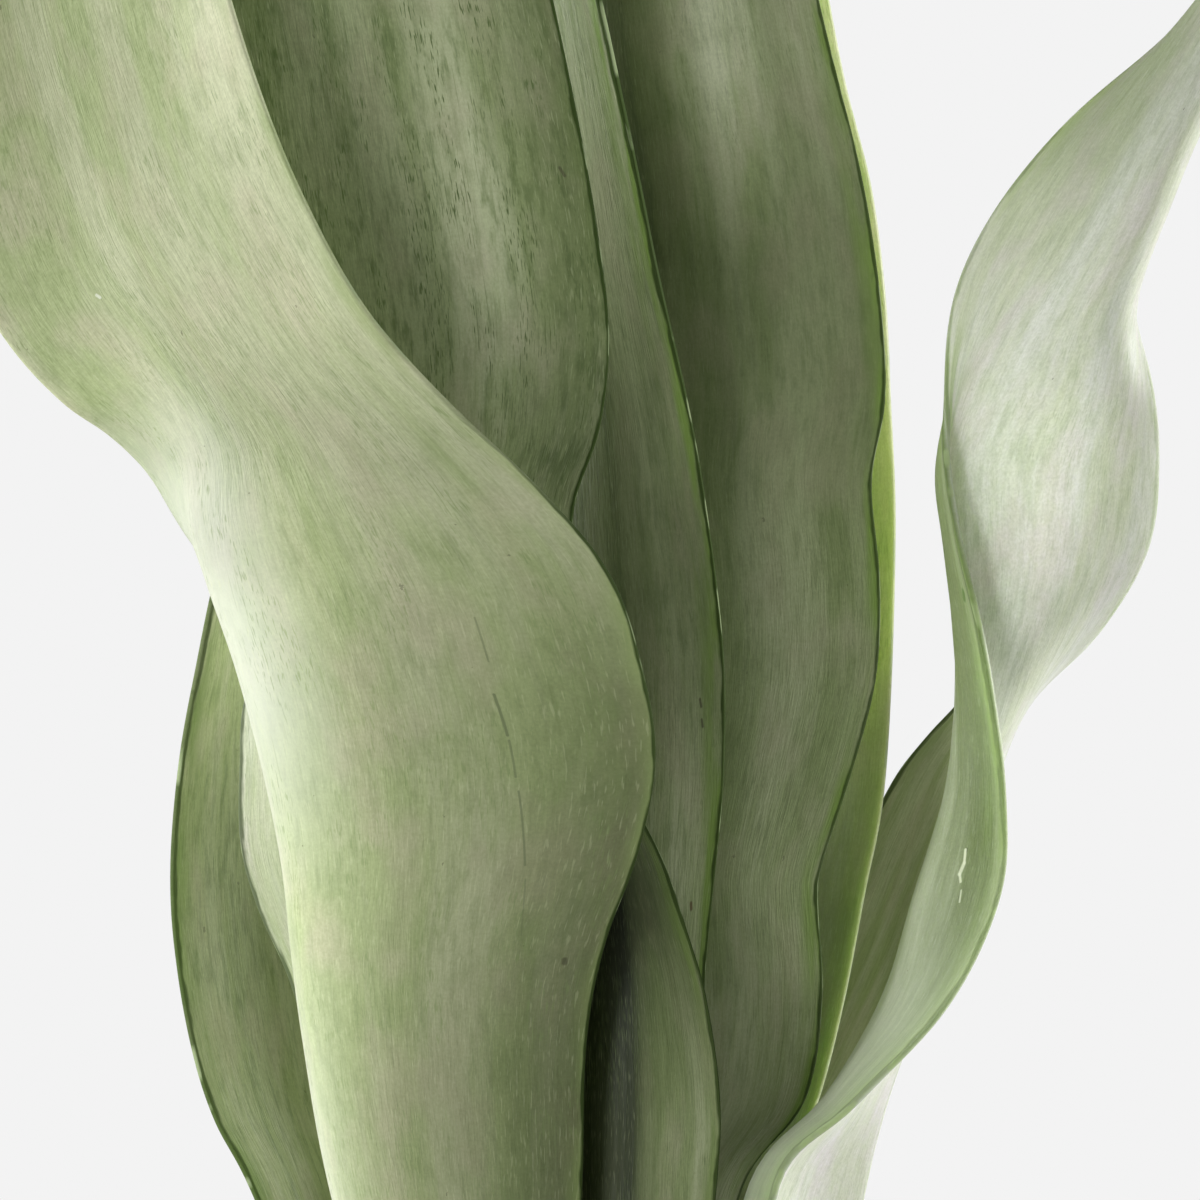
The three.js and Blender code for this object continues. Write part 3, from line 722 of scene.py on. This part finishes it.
def weathered(skin, tone, silver, deep, dashes):
    tree, pattern = skin.tree, skin.pattern
    pale = share(tree, pattern["pale_dash"], 0.64, 0.74, 0.0, 0.4 * dashes)
    tone = blend(tree, pale, tone, [min(1.25 * channel, 1.0) for channel in silver])
    short = times(tree, share(tree, pattern["dash"], 0.60, 0.70),
                  share(tree, pattern["dash_patch"], 0.45, 0.60, 0.0, dashes))
    hairline = share(tree, pattern["hairline"], 0.71, 0.78, 0.0, 0.5 * dashes)
    tone = blend(tree, sum_of(tree, "MAXIMUM", short, hairline), tone, deep)

    cells = add_node(tree, "ShaderNodeMapping", {
        "Vector": skin.place, "Location": (skin.seed * 5.7, skin.seed * 9.1, 0),
        "Scale": (1 / SPECK_SPACING, 0.6 / SPECK_SPACING, 0),
    })
    speck = add_node(tree, "ShaderNodeTexVoronoi", {
        "Vector": cells.outputs[0], "Scale": 1.0, "Randomness": 1.0,
    }, voronoi_dimensions="2D")
    chosen = add_node(tree, "ShaderNodeSeparateColor", {0: speck.outputs["Color"]}).outputs[0]
    radius = share(tree, chosen, 0.8, 1.0, 0.0, 0.022)
    ragged = share(tree, pattern["pore"], 0.3, 0.7, -0.012, 0.012)
    ragged = sum_of(tree, "ADD", speck.outputs["Distance"], ragged)
    spot = sum_of(tree, "LESS_THAN", ragged, radius)
    return blend(tree, times(tree, spot, 0.45), tone, SPECK_BROWN)


# %% [markdown]
# The margin is a dark green line about a millimetre wide, uneven like a pen stroke, and on its
# outermost edge the skin flakes and shows cream. Above line_top the front leaf's line fades.

# %% The line along the margins
MARGIN_LINE = 0.85
LINE_BLUR = 0.45


def margin_line(skin, tone, line, line_top):
    """The tone with the line on it, and how dark the line is at each point."""
    tree = skin.tree
    width = times(tree, share(tree, skin.pattern["line_width"], 0.3, 0.7, 0.45, 1.2), MARGIN_LINE)
    dark = share(tree, skin.edge, width, sum_of(tree, "ADD", width, LINE_BLUR), 1.0, 0.0)
    fading = share(tree, skin.along, line_top - 15, line_top + 15, 1.0, 0.12)
    dark = times(tree, dark, skin.by_side(line), fading)
    tone = blend(tree, dark, tone, LINE_GREEN)
    flaking = share(tree, skin.pattern["flaking"], 0.58, 0.64, 0.0, 0.8)
    rim = times(tree, share(tree, skin.edge, 0.16, 0.30, 1.0, 0.0), flaking)
    return blend(tree, rim, tone, EDGE_CREAM), dark


# %% [markdown]
# A few marks belong to one leaf alone. Each is a short line on the skin with soft sides: its
# start and end in mm across and along, half its width, its colour and its strength.

# %% Single marks
def mark_mask(skin, start, end, half_width):
    """1 on a short line drawn on the skin from start to end, and 0 away from it."""
    tree = skin.tree
    run = (end[0] - start[0], end[1] - start[1])
    turned = add_node(tree, "ShaderNodeMapping", {
        "Vector": skin.place, "Location": (-start[0], -start[1], 0),
    }).outputs[0]
    turned = add_node(tree, "ShaderNodeVectorRotate", {
        "Vector": turned, "Angle": -math.atan2(run[1], run[0]),
    }, rotation_type="Z_AXIS").outputs[0]
    split = add_node(tree, "ShaderNodeSeparateXYZ", {0: turned})
    nearest = add_node(tree, "ShaderNodeClamp", {
        "Value": split.outputs[0], "Min": 0.0, "Max": math.hypot(*run),
    }).outputs[0]
    past = sum_of(tree, "SUBTRACT", split.outputs[0], nearest)
    flat = add_node(tree, "ShaderNodeCombineXYZ", {0: past, 1: split.outputs[1]}).outputs[0]
    away = add_node(tree, "ShaderNodeVectorMath", {0: flat}, operation="LENGTH").outputs["Value"]
    return share(tree, away, 0.6 * half_width, 1.3 * half_width, 1.0, 0.0)


# %% [markdown]
# All layers are laid over each other in that order. The foot of a leaf is pale where the soil
# keeps it dark, and its very tip is dry and brown. The line on the margin is duller than the
# waxy skin. Two leaves let some light through: their skin gets a share of subsurface light.

# %% The whole skin
FIBRE_RELIEF = 0.00010


def leaf_skin(name, tones, seed, mottled=0.3, dashes=0.45, line=(0.8, 0.8), zone=(0.5, 0.5),
              painted_shading_and_bands=(), painted_highlights=(), marks=(), glow=0.0, line_top=1000):
    """A leaf's finish. tones: silver, green, fresh at the margins, and the back's tone."""
    silver, green, fresh, _ = tones
    deep = [0.50 * green[0], 0.58 * green[1], 0.42 * green[2]]
    skin = Skin(name, seed)
    tree, shader = skin.tree, skin.shader
    tone = ground_tone(skin, tones, deep, mottled)
    # The soft patches of painted shade and painted light go on here.
    tone = pattern_and_painted_shading(skin, tone, painted_shading_and_bands)
    # The painted highlights go on here.
    tone = fresh_green_and_painted_highlights(skin, tone, fresh, zone, painted_highlights)
    tone = weathered(skin, tone, silver, deep, dashes)
    tone, dark = margin_line(skin, tone, line, line_top)
    for start, end, half_width, colour, strength in marks:
        mask = times(tree, mark_mask(skin, start, end, half_width), strength)
        tone = blend(tree, mask, tone, colour)
    tone = blend(tree, share(tree, skin.along, 30, 75, 0.55, 0.0), tone, SHEATH_PALE)
    tone = blend(tree, share(tree, skin.to_tip, 2.5, 6.0, 0.9, 0.0), tone, TIP_BROWN)
    tree.links.new(tone, shader.inputs["Base Color"])

    uneven = times(tree, skin.pattern["streak"], skin.pattern["blotch"])
    dull = share(tree, uneven, 0.12, 0.40, 0.44, 0.62)
    dull = sum_of(tree, "MAXIMUM", dull, times(tree, dark, 0.8))
    tree.links.new(dull, shader.inputs["Roughness"])
    tree.links.new(share(tree, dark, 0.0, 1.0, 0.38, 0.05), shader.inputs["Specular IOR Level"])
    shader.inputs["Subsurface Weight"].default_value = glow
    shader.inputs["Subsurface Radius"].default_value = (0.9, 1.0, 0.75)
    shader.inputs["Subsurface Scale"].default_value = 0.006
    shader.inputs["Sheen Weight"].default_value = 0.05
    shader.inputs["Sheen Roughness"].default_value = 0.45
    relief(tree, shader, skin.pattern["fibre"], FIBRE_RELIEF)
    return skin.material


# %% [markdown]
# ## The twelve leaves
# Each leaf has its own tones, read from the photograph: the wide front leaf, the twisted
# one and a narrow one at the left are silvery, those in the middle are a calm grey-green, and the
# short and outer ones are darker and greener. The marks are the few that catch the eye there: a
# long scratch down the front leaf, a pale scar and a green spot on the twisted one, and small
# brown spots and nicks beside the margins of three others.

# %% Tones and marks of each leaf
# The short front leaf's darkness is mostly painted shade, set in its patches below; its tones are
# those of the middle leaves.
BRIGHT_SILVER = (0.72, 0.76, 0.60)
BRIGHT_GREEN = (0.62, 0.68, 0.45)
SILVER = (0.56, 0.60, 0.37)
SILVER_GREEN = (0.45, 0.53, 0.26)
GREY_GREEN = (0.34, 0.39, 0.21)
CALM_GREEN = (0.23, 0.29, 0.12)
OPEN_GREY = (0.47, 0.53, 0.28)
OPEN_GREEN = (0.35, 0.43, 0.17)
FRESH = (0.30, 0.42, 0.12)
DEEP_FRESH = (0.19, 0.30, 0.055)

PALE = (SILVER, SILVER_GREEN, FRESH, SILVER_GREEN)
MID = (GREY_GREEN, CALM_GREEN, DEEP_FRESH, CALM_GREEN)
OPEN = (OPEN_GREY, OPEN_GREEN, DEEP_FRESH, OPEN_GREEN)
SCRATCH = (0.16, 0.20, 0.09)

FRONT_MARKS = [
    ((60.9, 231), (61.0, 222), 0.16, SCRATCH, 0.5),
    ((60.6, 215), (61.3, 206), 0.22, SCRATCH, 0.8),
    ((61.4, 205), (61.9, 197), 0.18, SCRATCH, 0.6),
    ((62.3, 194), (64.2, 178), 0.17, SCRATCH, 0.65),
    ((64.6, 175), (66.0, 163), 0.14, SCRATCH, 0.5),
    ((73.8, 157.3), (73.9, 156.6), 0.55, SPECK_BROWN, 0.7),
    ((20.0, 319.8), (20.4, 318.9), 0.35, SCAR_CREAM, 0.9),
]
TWISTED_MARKS = [
    ((13.0, 192.3), (12.6, 189.0), 0.40, SCAR_CREAM, 0.9),
    ((12.6, 189.0), (13.3, 186.5), 0.55, SCAR_CREAM, 0.8),
    ((13.3, 186.5), (12.4, 184.6), 0.35, SCAR_CREAM, 0.8),
    ((11.6, 182.5), (11.2, 179.8), 0.22, SCAR_CREAM, 0.7),
    ((5.2, 250.8), (5.6, 249.6), 0.9, (0.10, 0.20, 0.03), 0.8),
    ((1.0, 360.0), (1.1, 356.5), 0.4, EDGE_CREAM, 0.9),
]
EDGE_ON_MARKS = [
    ((71.4, 165.9), (71.6, 164.9), 0.6, (0.11, 0.06, 0.02), 0.8),
    ((71.0, 210.4), (71.4, 209.0), 0.45, SPECK_BROWN, 0.8),
    ((71.6, 206.0), (72.0, 204.6), 0.40, SPECK_BROWN, 0.75),
]
BEHIND_MARKS = [
    ((43.0, 326), (43.4, 313), 0.28, SCRATCH, 0.6),
    ((73.8, 326.6), (74.6, 325.0), 0.4, SPECK_BROWN, 0.7),
]

# %% [markdown]
# Now all twelve are modelled and painted, one after the other.

# %% Model and paint the leaves
# In each leaf's soft patches a gain below 1 is painted shade, a neighbour's cast shadow or a side
# turned from the lamps, and a gain above 1 is painted light; a few only strengthen the leaf's own
# silver bands. The whitening patches are painted highlights.
LEAVES = [
    ("leaf_front_wavy", FRONT_WAVY_GUIDES, "leaf_pale", PALE,
     {"mottled": 0.22, "dashes": 0.5, "line": (0.2, 0.95), "zone": (0.0, 0.5), "line_top": 262,
      # Painted shade over the lower right, where the blade turns from the lamps, painted light high on
      # the right, and painted highlights along the left edge.
      "painted_shading_and_bands": [(30, 100, -50, 245, 0.80), (60, 100, -50, 205, 0.78), (70, 100, -50, 230, 0.56),
                (30, 100, -50, 148, 0.86), (-20, 55, 360, 460, 0.86), (70, 100, 325, 460, 1.3),
                (-20, 16, 245, 300, 0.78)],
      "painted_highlights": [(-20, 32, 190, 278, 0.6), (-20, 17, -50, 205, 0.6), (-20, 28, -50, 145, 0.3)],
      "marks": FRONT_MARKS}),
    ("leaf_behind_front", arched_guides(BEHIND_FRONT_STATIONS), "leaf_mid", MID,
     {"mottled": 0.6, "dashes": 1.0, "line": (0.8, 1.0), "zone": (0.3, 0.15),
      # Two silver bands of its own, painted shade down the right side that turns away, and the front
      # leaf's painted shadow on the left.
      "painted_shading_and_bands": [(48, 62, 250, 600, 1.4), (40, 62, 230, 330, 1.2), (74, 100, -50, 600, 0.62),
                (-20, 40, 270, 600, 0.86)],
      "marks": BEHIND_MARKS}),
    ("leaf_edge_on", arched_guides(EDGE_ON_STATIONS), "leaf_mid", MID,
     {"mottled": 0.35, "line": (0.3, 0.95), "zone": (0.3, 1.2),
      # Painted shadow of the leaves in front over the left half, and painted light lower down.
      "painted_shading_and_bands": [(-20, 52, 200, 300, 0.38), (45, 100, 215, 300, 0.8), (-20, 100, -50, 185, 1.3)],
      "marks": EDGE_ON_MARKS}),
    ("leaf_broad_right", arched_guides(BROAD_RIGHT_STATIONS), "leaf_mid",
     (GREY_GREEN, CALM_GREEN, (0.22, 0.34, 0.07), CALM_GREEN),
     {"mottled": 0.25, "dashes": 0.3, "line": (0.8, 0.9), "zone": (0.3, 1.0),
      # Painted shadow of the edge-on leaf along the left margin, a painted lit stripe near the top,
      # and painted light low down.
      "painted_shading_and_bands": [(-20, 30, 290, 600, 0.3), (-20, 18, 310, 600, 0.5), (38, 56, 330, 600, 2.4),
                (60, 100, 340, 600, 1.2), (-20, 100, 262, 335, 0.7), (-20, 100, 135, 235, 1.14),
                (-20, 100, -50, 135, 1.4)]}),
    ("leaf_rear_right", arched_guides(REAR_RIGHT_STATIONS), "leaf_mid",
     ((0.64, 0.72, 0.40), (0.56, 0.66, 0.28), FRESH, BRIGHT_GREEN),
     {"mottled": 0.1, "line": (0.5, 0.0), "zone": (0.8, 0.3), "glow": 0.9,
      "painted_shading_and_bands": [(-20, 100, -50, 185, 0.5)]}),
    ("leaf_twisted", TWISTED_GUIDES, "leaf_pale",
     ((0.74, 0.78, 0.67), (0.67, 0.72, 0.55), FRESH, CALM_GREEN),
     {"mottled": 0.15, "dashes": 0.25, "line": (0.45, 0.3), "zone": (0.5, 0.1), "glow": 0.9,
      "painted_shading_and_bands": [(-20, 38, 335, 500, 0.66), (-20, 24, 355, 500, 0.75), (48, 100, 80, 300, 1.05),
                (-20, 100, -50, 150, 1.15)],
      "painted_highlights": [(-20, 30, -50, 172, 0.3)],
      "marks": TWISTED_MARKS}),
    ("leaf_leaning", arched_guides(LEANING_STATIONS), "leaf_dark", OPEN, {"mottled": 0.2}),
    ("leaf_short_front", arched_guides(SHORT_FRONT_STATIONS), "leaf_dark", MID,
     {"mottled": 0.2, "line": (0.9, 0.9),
      # Painted shadow of the front leaf over the left half and the upper part.
      "painted_shading_and_bands": [(-20, 46, -50, 250, 0.11), (-20, 100, 140, 250, 0.28), (60, 100, -50, 136, 1.3)]}),
    ("leaf_left_dark", arched_guides(LEFT_DARK_STATIONS), "leaf_dark", OPEN,
     {"mottled": 0.5, "zone": (0.7, 0.4),
      "painted_shading_and_bands": [(-20, 100, 130, 190, 0.68), (-20, 100, 210, 300, 1.6)]}),
    ("leaf_left_pale", arched_guides(LEFT_PALE_STATIONS), "leaf_pale",
     (BRIGHT_SILVER, BRIGHT_GREEN, FRESH, BRIGHT_GREEN),
     {"mottled": 0.1, "painted_shading_and_bands": [(-20, 100, 190, 300, 1.3), (-20, 100, -50, 185, 0.8)]}),
    ("leaf_back_tall", arched_guides(BACK_TALL_STATIONS), "leaf_mid", MID, {}),
    ("leaf_back_short", arched_guides(BACK_SHORT_STATIONS), "leaf_mid", MID, {}),
]
leaves = []
for seed, (node, guides, slot, tones, habits) in enumerate(LEAVES, start=1):
    leaf = model_leaf(node.replace("leaf_", "blade_"), guides, seed)
    leaf.data.materials.append(leaf_skin(node + "_skin", tones, seed, **habits))
    leaves.append(leaf)
    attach(leaf, "root")
    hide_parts(node)

# %% [markdown]
# ## The soil
# The photograph ends above the soil, so this is the loose mix that such a plant is sold in: dark
# peat with bark and a little white perlite. The plug starts as a cylinder inside the pot. A voxel
# remesh gives it an even net of small faces, and a cloud texture then pushes its top up and down
# into crumbs. The sides and the underside stay true, because they lie against the pot.

# %% Model the plug of soil
soil_low, soil_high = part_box("soil")
pot_low, pot_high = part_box("pot")
SOIL_RADIUS = soil_high.x
SOIL_FOOT_RADIUS = 0.059
SOIL_EDGE = 0.135
SOIL_RINGS = ((0.022, 0.0020), (0.028, 0.0016))
SOIL_NET = 0.0017
WALL_CALM = 0.004
TOP_BAND = 0.002
CRUMB_HEIGHT = 0.0045


def pick(piece, mode, wanted):
    """Selects in edit mode the vertices, edges or faces whose middle passes the test."""
    only(piece)
    bpy.ops.object.mode_set(mode="EDIT")
    bpy.ops.mesh.select_mode(type=mode)
    bpy.ops.mesh.select_all(action="DESELECT")
    bpy.ops.object.mode_set(mode="OBJECT")
    mesh = piece.data
    corner = [vertex.co.copy() for vertex in mesh.vertices]
    if mode == "VERT":
        parts = [(vertex, vertex.co) for vertex in mesh.vertices]
    elif mode == "EDGE":
        parts = [(e, (corner[e.vertices[0]] + corner[e.vertices[1]]) / 2) for e in mesh.edges]
    else:
        parts = [(face, face.center) for face in mesh.polygons]
    found = 0
    for part, middle in parts:
        if wanted(part, middle):
            part.select = True
            found += 1
    bpy.ops.object.mode_set(mode="EDIT")
    return found


def done():
    bpy.ops.object.mode_set(mode="OBJECT")


def in_place(piece):
    """Puts a new primitive's place and size into its mesh."""
    only(piece)
    bpy.ops.object.transform_apply(location=True, rotation=True, scale=True)


def tapered_cylinder(name, sides, foot_radius, top_radius, low, high):
    """A cylinder from the height low to high, widened at its top."""
    bpy.ops.mesh.primitive_cylinder_add(
        vertices=sides, radius=foot_radius, depth=high - low, location=(0, 0, (high + low) / 2))
    piece = bpy.context.object
    piece.name = name
    in_place(piece)
    pick(piece, "VERT", lambda part, middle: middle.z > high - 0.001)
    wider = top_radius / foot_radius
    bpy.ops.transform.resize(value=(wider, wider, 1))
    done()
    return piece


soil = tapered_cylinder(
    "potting_soil", 96, SOIL_FOOT_RADIUS, SOIL_RADIUS, soil_low.z, SOIL_EDGE)
pick(soil, "FACE", lambda part, middle: part.normal.z > 0.9)
for ring, rise in SOIL_RINGS:
    bpy.ops.mesh.inset(thickness=ring)
    bpy.ops.transform.translate(value=(0, 0, rise))
done()

net = soil.modifiers.new("net", "REMESH")
net.mode = "VOXEL"
net.voxel_size = SOIL_NET
apply_all(soil)
crumbly = soil.vertex_groups.new(name="crumbly")
for vertex in soil.data.vertices:
    near_wall = (SOIL_RADIUS - math.hypot(vertex.co.x, vertex.co.y)) / WALL_CALM
    if vertex.co.z > SOIL_EDGE - TOP_BAND:
        crumbly.add([vertex.index], max(0.0, min(near_wall, 1.0)), "REPLACE")
for name, size, strength in (("clods", 0.012, 1.0), ("crumbs", 0.0035, 0.8)):
    texture = bpy.data.textures.new(name, "CLOUDS")
    texture.noise_scale = size
    texture.noise_depth = 3
    push = soil.modifiers.new(name, "DISPLACE")
    push.texture = texture
    push.texture_coords = "LOCAL"
    push.vertex_group = "crumbly"
    push.direction = "Z"
    push.strength = CRUMB_HEIGHT * strength
apply_all(soil)
soil.vertex_groups.clear()
bpy.ops.object.shade_smooth()
print("soil faces", len(soil.data.polygons), "top", round(max(v.co.z for v in soil.data.vertices), 4))

# %% [markdown]
# Peat is nearly black where it is damp and a dull brown where it has dried, so the finish mixes
# both in blotches a few centimetres wide and speckles them with crumbs.

# %% Finish the soil
def earthy_finish(name, dark, light, crumb, rough, depth):
    """A rough brown finish. crumb is the size of its grain in metres."""
    material, tree, shader = new_finish(name)
    place = add_node(tree, "ShaderNodeTexCoord").outputs["Object"]
    crumbs = grain(tree, place, (crumb,) * 3, 5.0, 0.65)
    dried = grain(tree, place, (0.028,) * 3, 2.0, 0.5, (3, 1, 4))
    tone = blend(tree, share(tree, dried, 0.35, 0.65, 0.1, 0.7), dark, light)
    tone = blend(tree, share(tree, crumbs, 0.35, 0.7, 0.75, 0.0), tone, [0.45 * c for c in dark])
    one_piece = add_node(tree, "ShaderNodeNewGeometry").outputs["Random Per Island"]
    tone = blend(tree, share(tree, one_piece, 0.0, 1.0, 0.0, 0.35), tone, light)
    tree.links.new(tone, shader.inputs["Base Color"])
    tree.links.new(share(tree, crumbs, 0.3, 0.7, rough, rough + 0.15), shader.inputs["Roughness"])
    shader.inputs["Specular IOR Level"].default_value = 0.25
    relief(tree, shader, crumbs, depth)
    return material


soil.data.materials.append(
    earthy_finish("peat_finish", (0.030, 0.020, 0.014), (0.085, 0.058, 0.040), 0.0016, 0.8, 0.0006))

# %% [markdown]
# Bark chips and perlite lie on the soil. One chip and one grain of each of a few shapes are
# modelled, then copied, turned and scaled all over the surface, clear of the leaves.

# %% Scatter bark and perlite
CHIPS, CHIP_CLEAR = 330, 0.0045
GRAINS, GRAIN_CLEAR = 110, 0.003
dice = random.Random(41)
leaf_feet = np.array([
    (vertex.co.x, vertex.co.y) for leaf in leaves for vertex in leaf.data.vertices
    if abs(vertex.co.z - soil_high.z) < 0.012
])
soil_spots = [vertex.co.copy() for vertex in soil.data.vertices if vertex.co.z > SOIL_EDGE - TOP_BAND]


def rough_lump(name, sizes, jitter):
    """A small broken lump: a low sphere of faces, squashed and knocked out of true."""
    bpy.ops.mesh.primitive_ico_sphere_add(subdivisions=1, radius=0.5, location=(0, 0, 0))
    lump = bpy.context.object
    lump.name = name
    lump.scale = sizes
    in_place(lump)
    for vertex in lump.data.vertices:
        vertex.co *= 1 + dice.uniform(-jitter, jitter)
    return lump


def scatter(name, shapes, count, clear):
    """Copies the shapes over the soil and joins the copies into one piece."""
    copies = []
    while len(copies) < count:
        spot = dice.choice(soil_spots)
        if math.hypot(spot.x, spot.y) > SOIL_RADIUS - clear:
            continue
        if np.hypot(leaf_feet[:, 0] - spot.x, leaf_feet[:, 1] - spot.y).min() < clear:
            continue
        copy = dice.choice(shapes).copy()
        copy.data = copy.data.copy()
        bpy.context.collection.objects.link(copy)
        copy.location = spot
        copy.rotation_euler = [dice.uniform(-0.5, 0.5), dice.uniform(-0.5, 0.5), dice.uniform(0, 6.3)]
        copy.scale = [dice.uniform(0.6, 1.15)] * 3
        copies.append(copy)
    only(copies[0])
    for copy in copies:
        copy.select_set(True)
    bpy.ops.object.join()
    piece = bpy.context.object
    piece.name = name
    in_place(piece)
    for shape in shapes:
        bpy.data.objects.remove(shape)
    print(name, "has", len(piece.data.polygons), "faces")
    return piece


bark = scatter("bark_chips", [
    rough_lump(f"chip_{k}", (0.0085, 0.0055, 0.0032), 0.28) for k in range(6)
], CHIPS, CHIP_CLEAR)
perlite = scatter("perlite_grains", [
    rough_lump(f"grain_{k}", (0.0036, 0.0032, 0.0028), 0.16) for k in range(4)
], GRAINS, GRAIN_CLEAR)

# %% [markdown]
# Bark is a warmer and lighter brown than the peat, and no two chips are alike. Perlite is
# puffed volcanic glass: chalk white and full of pits.

# %% Finish the bark and the perlite
bark.data.materials.append(
    earthy_finish("bark_finish", (0.075, 0.040, 0.022), (0.21, 0.12, 0.065), 0.0011, 0.7, 0.0004))
perlite.data.materials.append(
    earthy_finish("perlite_finish", (0.62, 0.61, 0.57), (0.82, 0.81, 0.77), 0.0005, 0.75, 0.0003))

# %% [markdown]
# ## The pot
# The pot is outside the photograph too, and it is finished plainly: a tapered pot of matt
# off-white ware with a wall 6 mm thick and a rounded rim. It is made the way it would be drawn by
# hand: a cylinder whose top is widened, whose top face is inset by the wall and pushed down to
# the floor, and whose edges are bevelled.

# %% Model the pot
POT_HEIGHT = pot_high.z
POT_TOP_RADIUS = pot_high.x
POT_FOOT_RADIUS = 0.064
POT_WALL = 0.006
POT_FLOOR = 0.009
ROUNDINGS = ((POT_HEIGHT, 0.00295, 6), (0.0, 0.004, 5), (POT_FLOOR, 0.003, 3))
FOOT_RING = 0.006
FOOT_SLOPE = 0.0015
FOOT_HOLLOW = 0.0012

pot = tapered_cylinder("tapered_pot", 144, POT_FOOT_RADIUS, POT_TOP_RADIUS, 0.0, POT_HEIGHT)
pick(pot, "FACE", lambda part, middle: part.normal.z > 0.9)
bpy.ops.mesh.inset(thickness=POT_WALL)
bpy.ops.mesh.extrude_region_move(
    TRANSFORM_OT_translate={"value": (0, 0, POT_FLOOR - POT_HEIGHT)})
inner_top = POT_TOP_RADIUS - POT_WALL
inner_foot = POT_FOOT_RADIUS + (POT_TOP_RADIUS - POT_FOOT_RADIUS) * POT_FLOOR / POT_HEIGHT - POT_WALL
narrower = inner_foot / inner_top
bpy.ops.transform.resize(value=(narrower, narrower, 1))
done()


def ring_at(height):
    """A test for the edges that run round the pot at this height."""
    return lambda edge, middle: (
        abs(pot.data.vertices[edge.vertices[0]].co.z - height) < 1e-4
        and abs(pot.data.vertices[edge.vertices[1]].co.z - height) < 1e-4
        and math.hypot(middle.x, middle.y) > 0.02
    )


for height, rounding, steps in ROUNDINGS:
    print("edges at", round(height, 3), pick(pot, "EDGE", ring_at(height)))
    bpy.ops.mesh.bevel(offset=rounding, segments=steps, affect="EDGES")
    done()

pick(pot, "FACE", lambda part, middle: (
    part.normal.z < -0.99 and middle.z < 0.001 and len(part.vertices) > 8))
bpy.ops.mesh.inset(thickness=FOOT_RING)
bpy.ops.mesh.inset(thickness=FOOT_SLOPE)
bpy.ops.transform.translate(value=(0, 0, FOOT_HOLLOW))
done()
only(pot)
bpy.ops.object.shade_smooth_by_angle(angle=math.radians(38))
print("pot faces", len(pot.data.polygons))

# %% [markdown]
# The ware is matt and off-white, with fine darker specks in its slip, a faint cloudiness, and a
# little more shine on the rim than on the unglazed foot.

# %% Finish the pot
WARE = (0.78, 0.755, 0.70)
WARE_CLOUD = (0.70, 0.675, 0.62)
WARE_SPECK = (0.30, 0.24, 0.18)
FOOT_CLAY = (0.60, 0.52, 0.42)

ware, tree, shader = new_finish("matt_ware")
place = add_node(tree, "ShaderNodeTexCoord").outputs["Object"]
height = add_node(tree, "ShaderNodeSeparateXYZ", {0: place}).outputs[2]
cloud = grain(tree, place, (0.035, 0.035, 0.02), 3.0, 0.5)
fine = grain(tree, place, (0.0009,) * 3, 3.0, 0.6)
tone = blend(tree, share(tree, cloud, 0.35, 0.65), WARE, WARE_CLOUD)
cells = add_node(tree, "ShaderNodeTexVoronoi", {"Vector": place, "Scale": 260.0, "Randomness": 1.0})
chosen = add_node(tree, "ShaderNodeSeparateColor", {0: cells.outputs["Color"]}).outputs[0]
speck_size = share(tree, chosen, 0.5, 1.0, 0.0, 0.16)
speck = sum_of(tree, "LESS_THAN", cells.outputs["Distance"], speck_size)
tone = blend(tree, times(tree, speck, 0.55), tone, WARE_SPECK)
bare = share(tree, sum_of(tree, "ADD", height, share(tree, cloud, 0.3, 0.7, -0.001, 0.001)),
             0.003, 0.0045, 1.0, 0.0)
tone = blend(tree, bare, tone, FOOT_CLAY)
tree.links.new(tone, shader.inputs["Base Color"])
rough = sum_of(tree, "ADD", share(tree, cloud, 0.3, 0.7, 0.48, 0.60), times(tree, bare, 0.25))
tree.links.new(rough, shader.inputs["Roughness"])
shader.inputs["Specular IOR Level"].default_value = 0.4
relief(tree, shader, sum_of(tree, "ADD", fine, times(tree, cloud, 2.0)), 0.00012)
pot.data.materials.append(ware)

# %% [markdown]
# ## What each piece stands for
# Every piece rides on the one body that the plant is and stands for its plain CAD node.

# %% Tie the pieces to the CAD model
for piece, node, slot in (
        (soil, "soil", "soil"), (bark, "soil", "soil"), (perlite, "soil", "soil"),
        (pot, "pot", "pot")):
    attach(piece, "root")
    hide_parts(node)

# %% [markdown]
# ## The floor
# A plain pale disc carries the pot and throws some light up under the leaves. It ends before the
# camera's level gaze could reach it.

# %% Lay the floor
FLOOR_RADIUS = 2.2
bpy.ops.mesh.primitive_circle_add(
    vertices=96, radius=FLOOR_RADIUS, fill_type="NGON", location=(0, 0, 0))
floor = bpy.context.object
floor.name = "pale_floor"
floor_finish, tree, shader = new_finish("pale_floor_paint")
floor_place = add_node(tree, "ShaderNodeTexCoord").outputs["Object"]
tree.links.new(
    blend(tree, grain(tree, floor_place, (0.4, 0.4, 0.4)), (0.78, 0.78, 0.77), (0.83, 0.83, 0.82)),
    shader.inputs["Base Color"])
shader.inputs["Roughness"].default_value = 0.7
floor.data.materials.append(floor_finish)
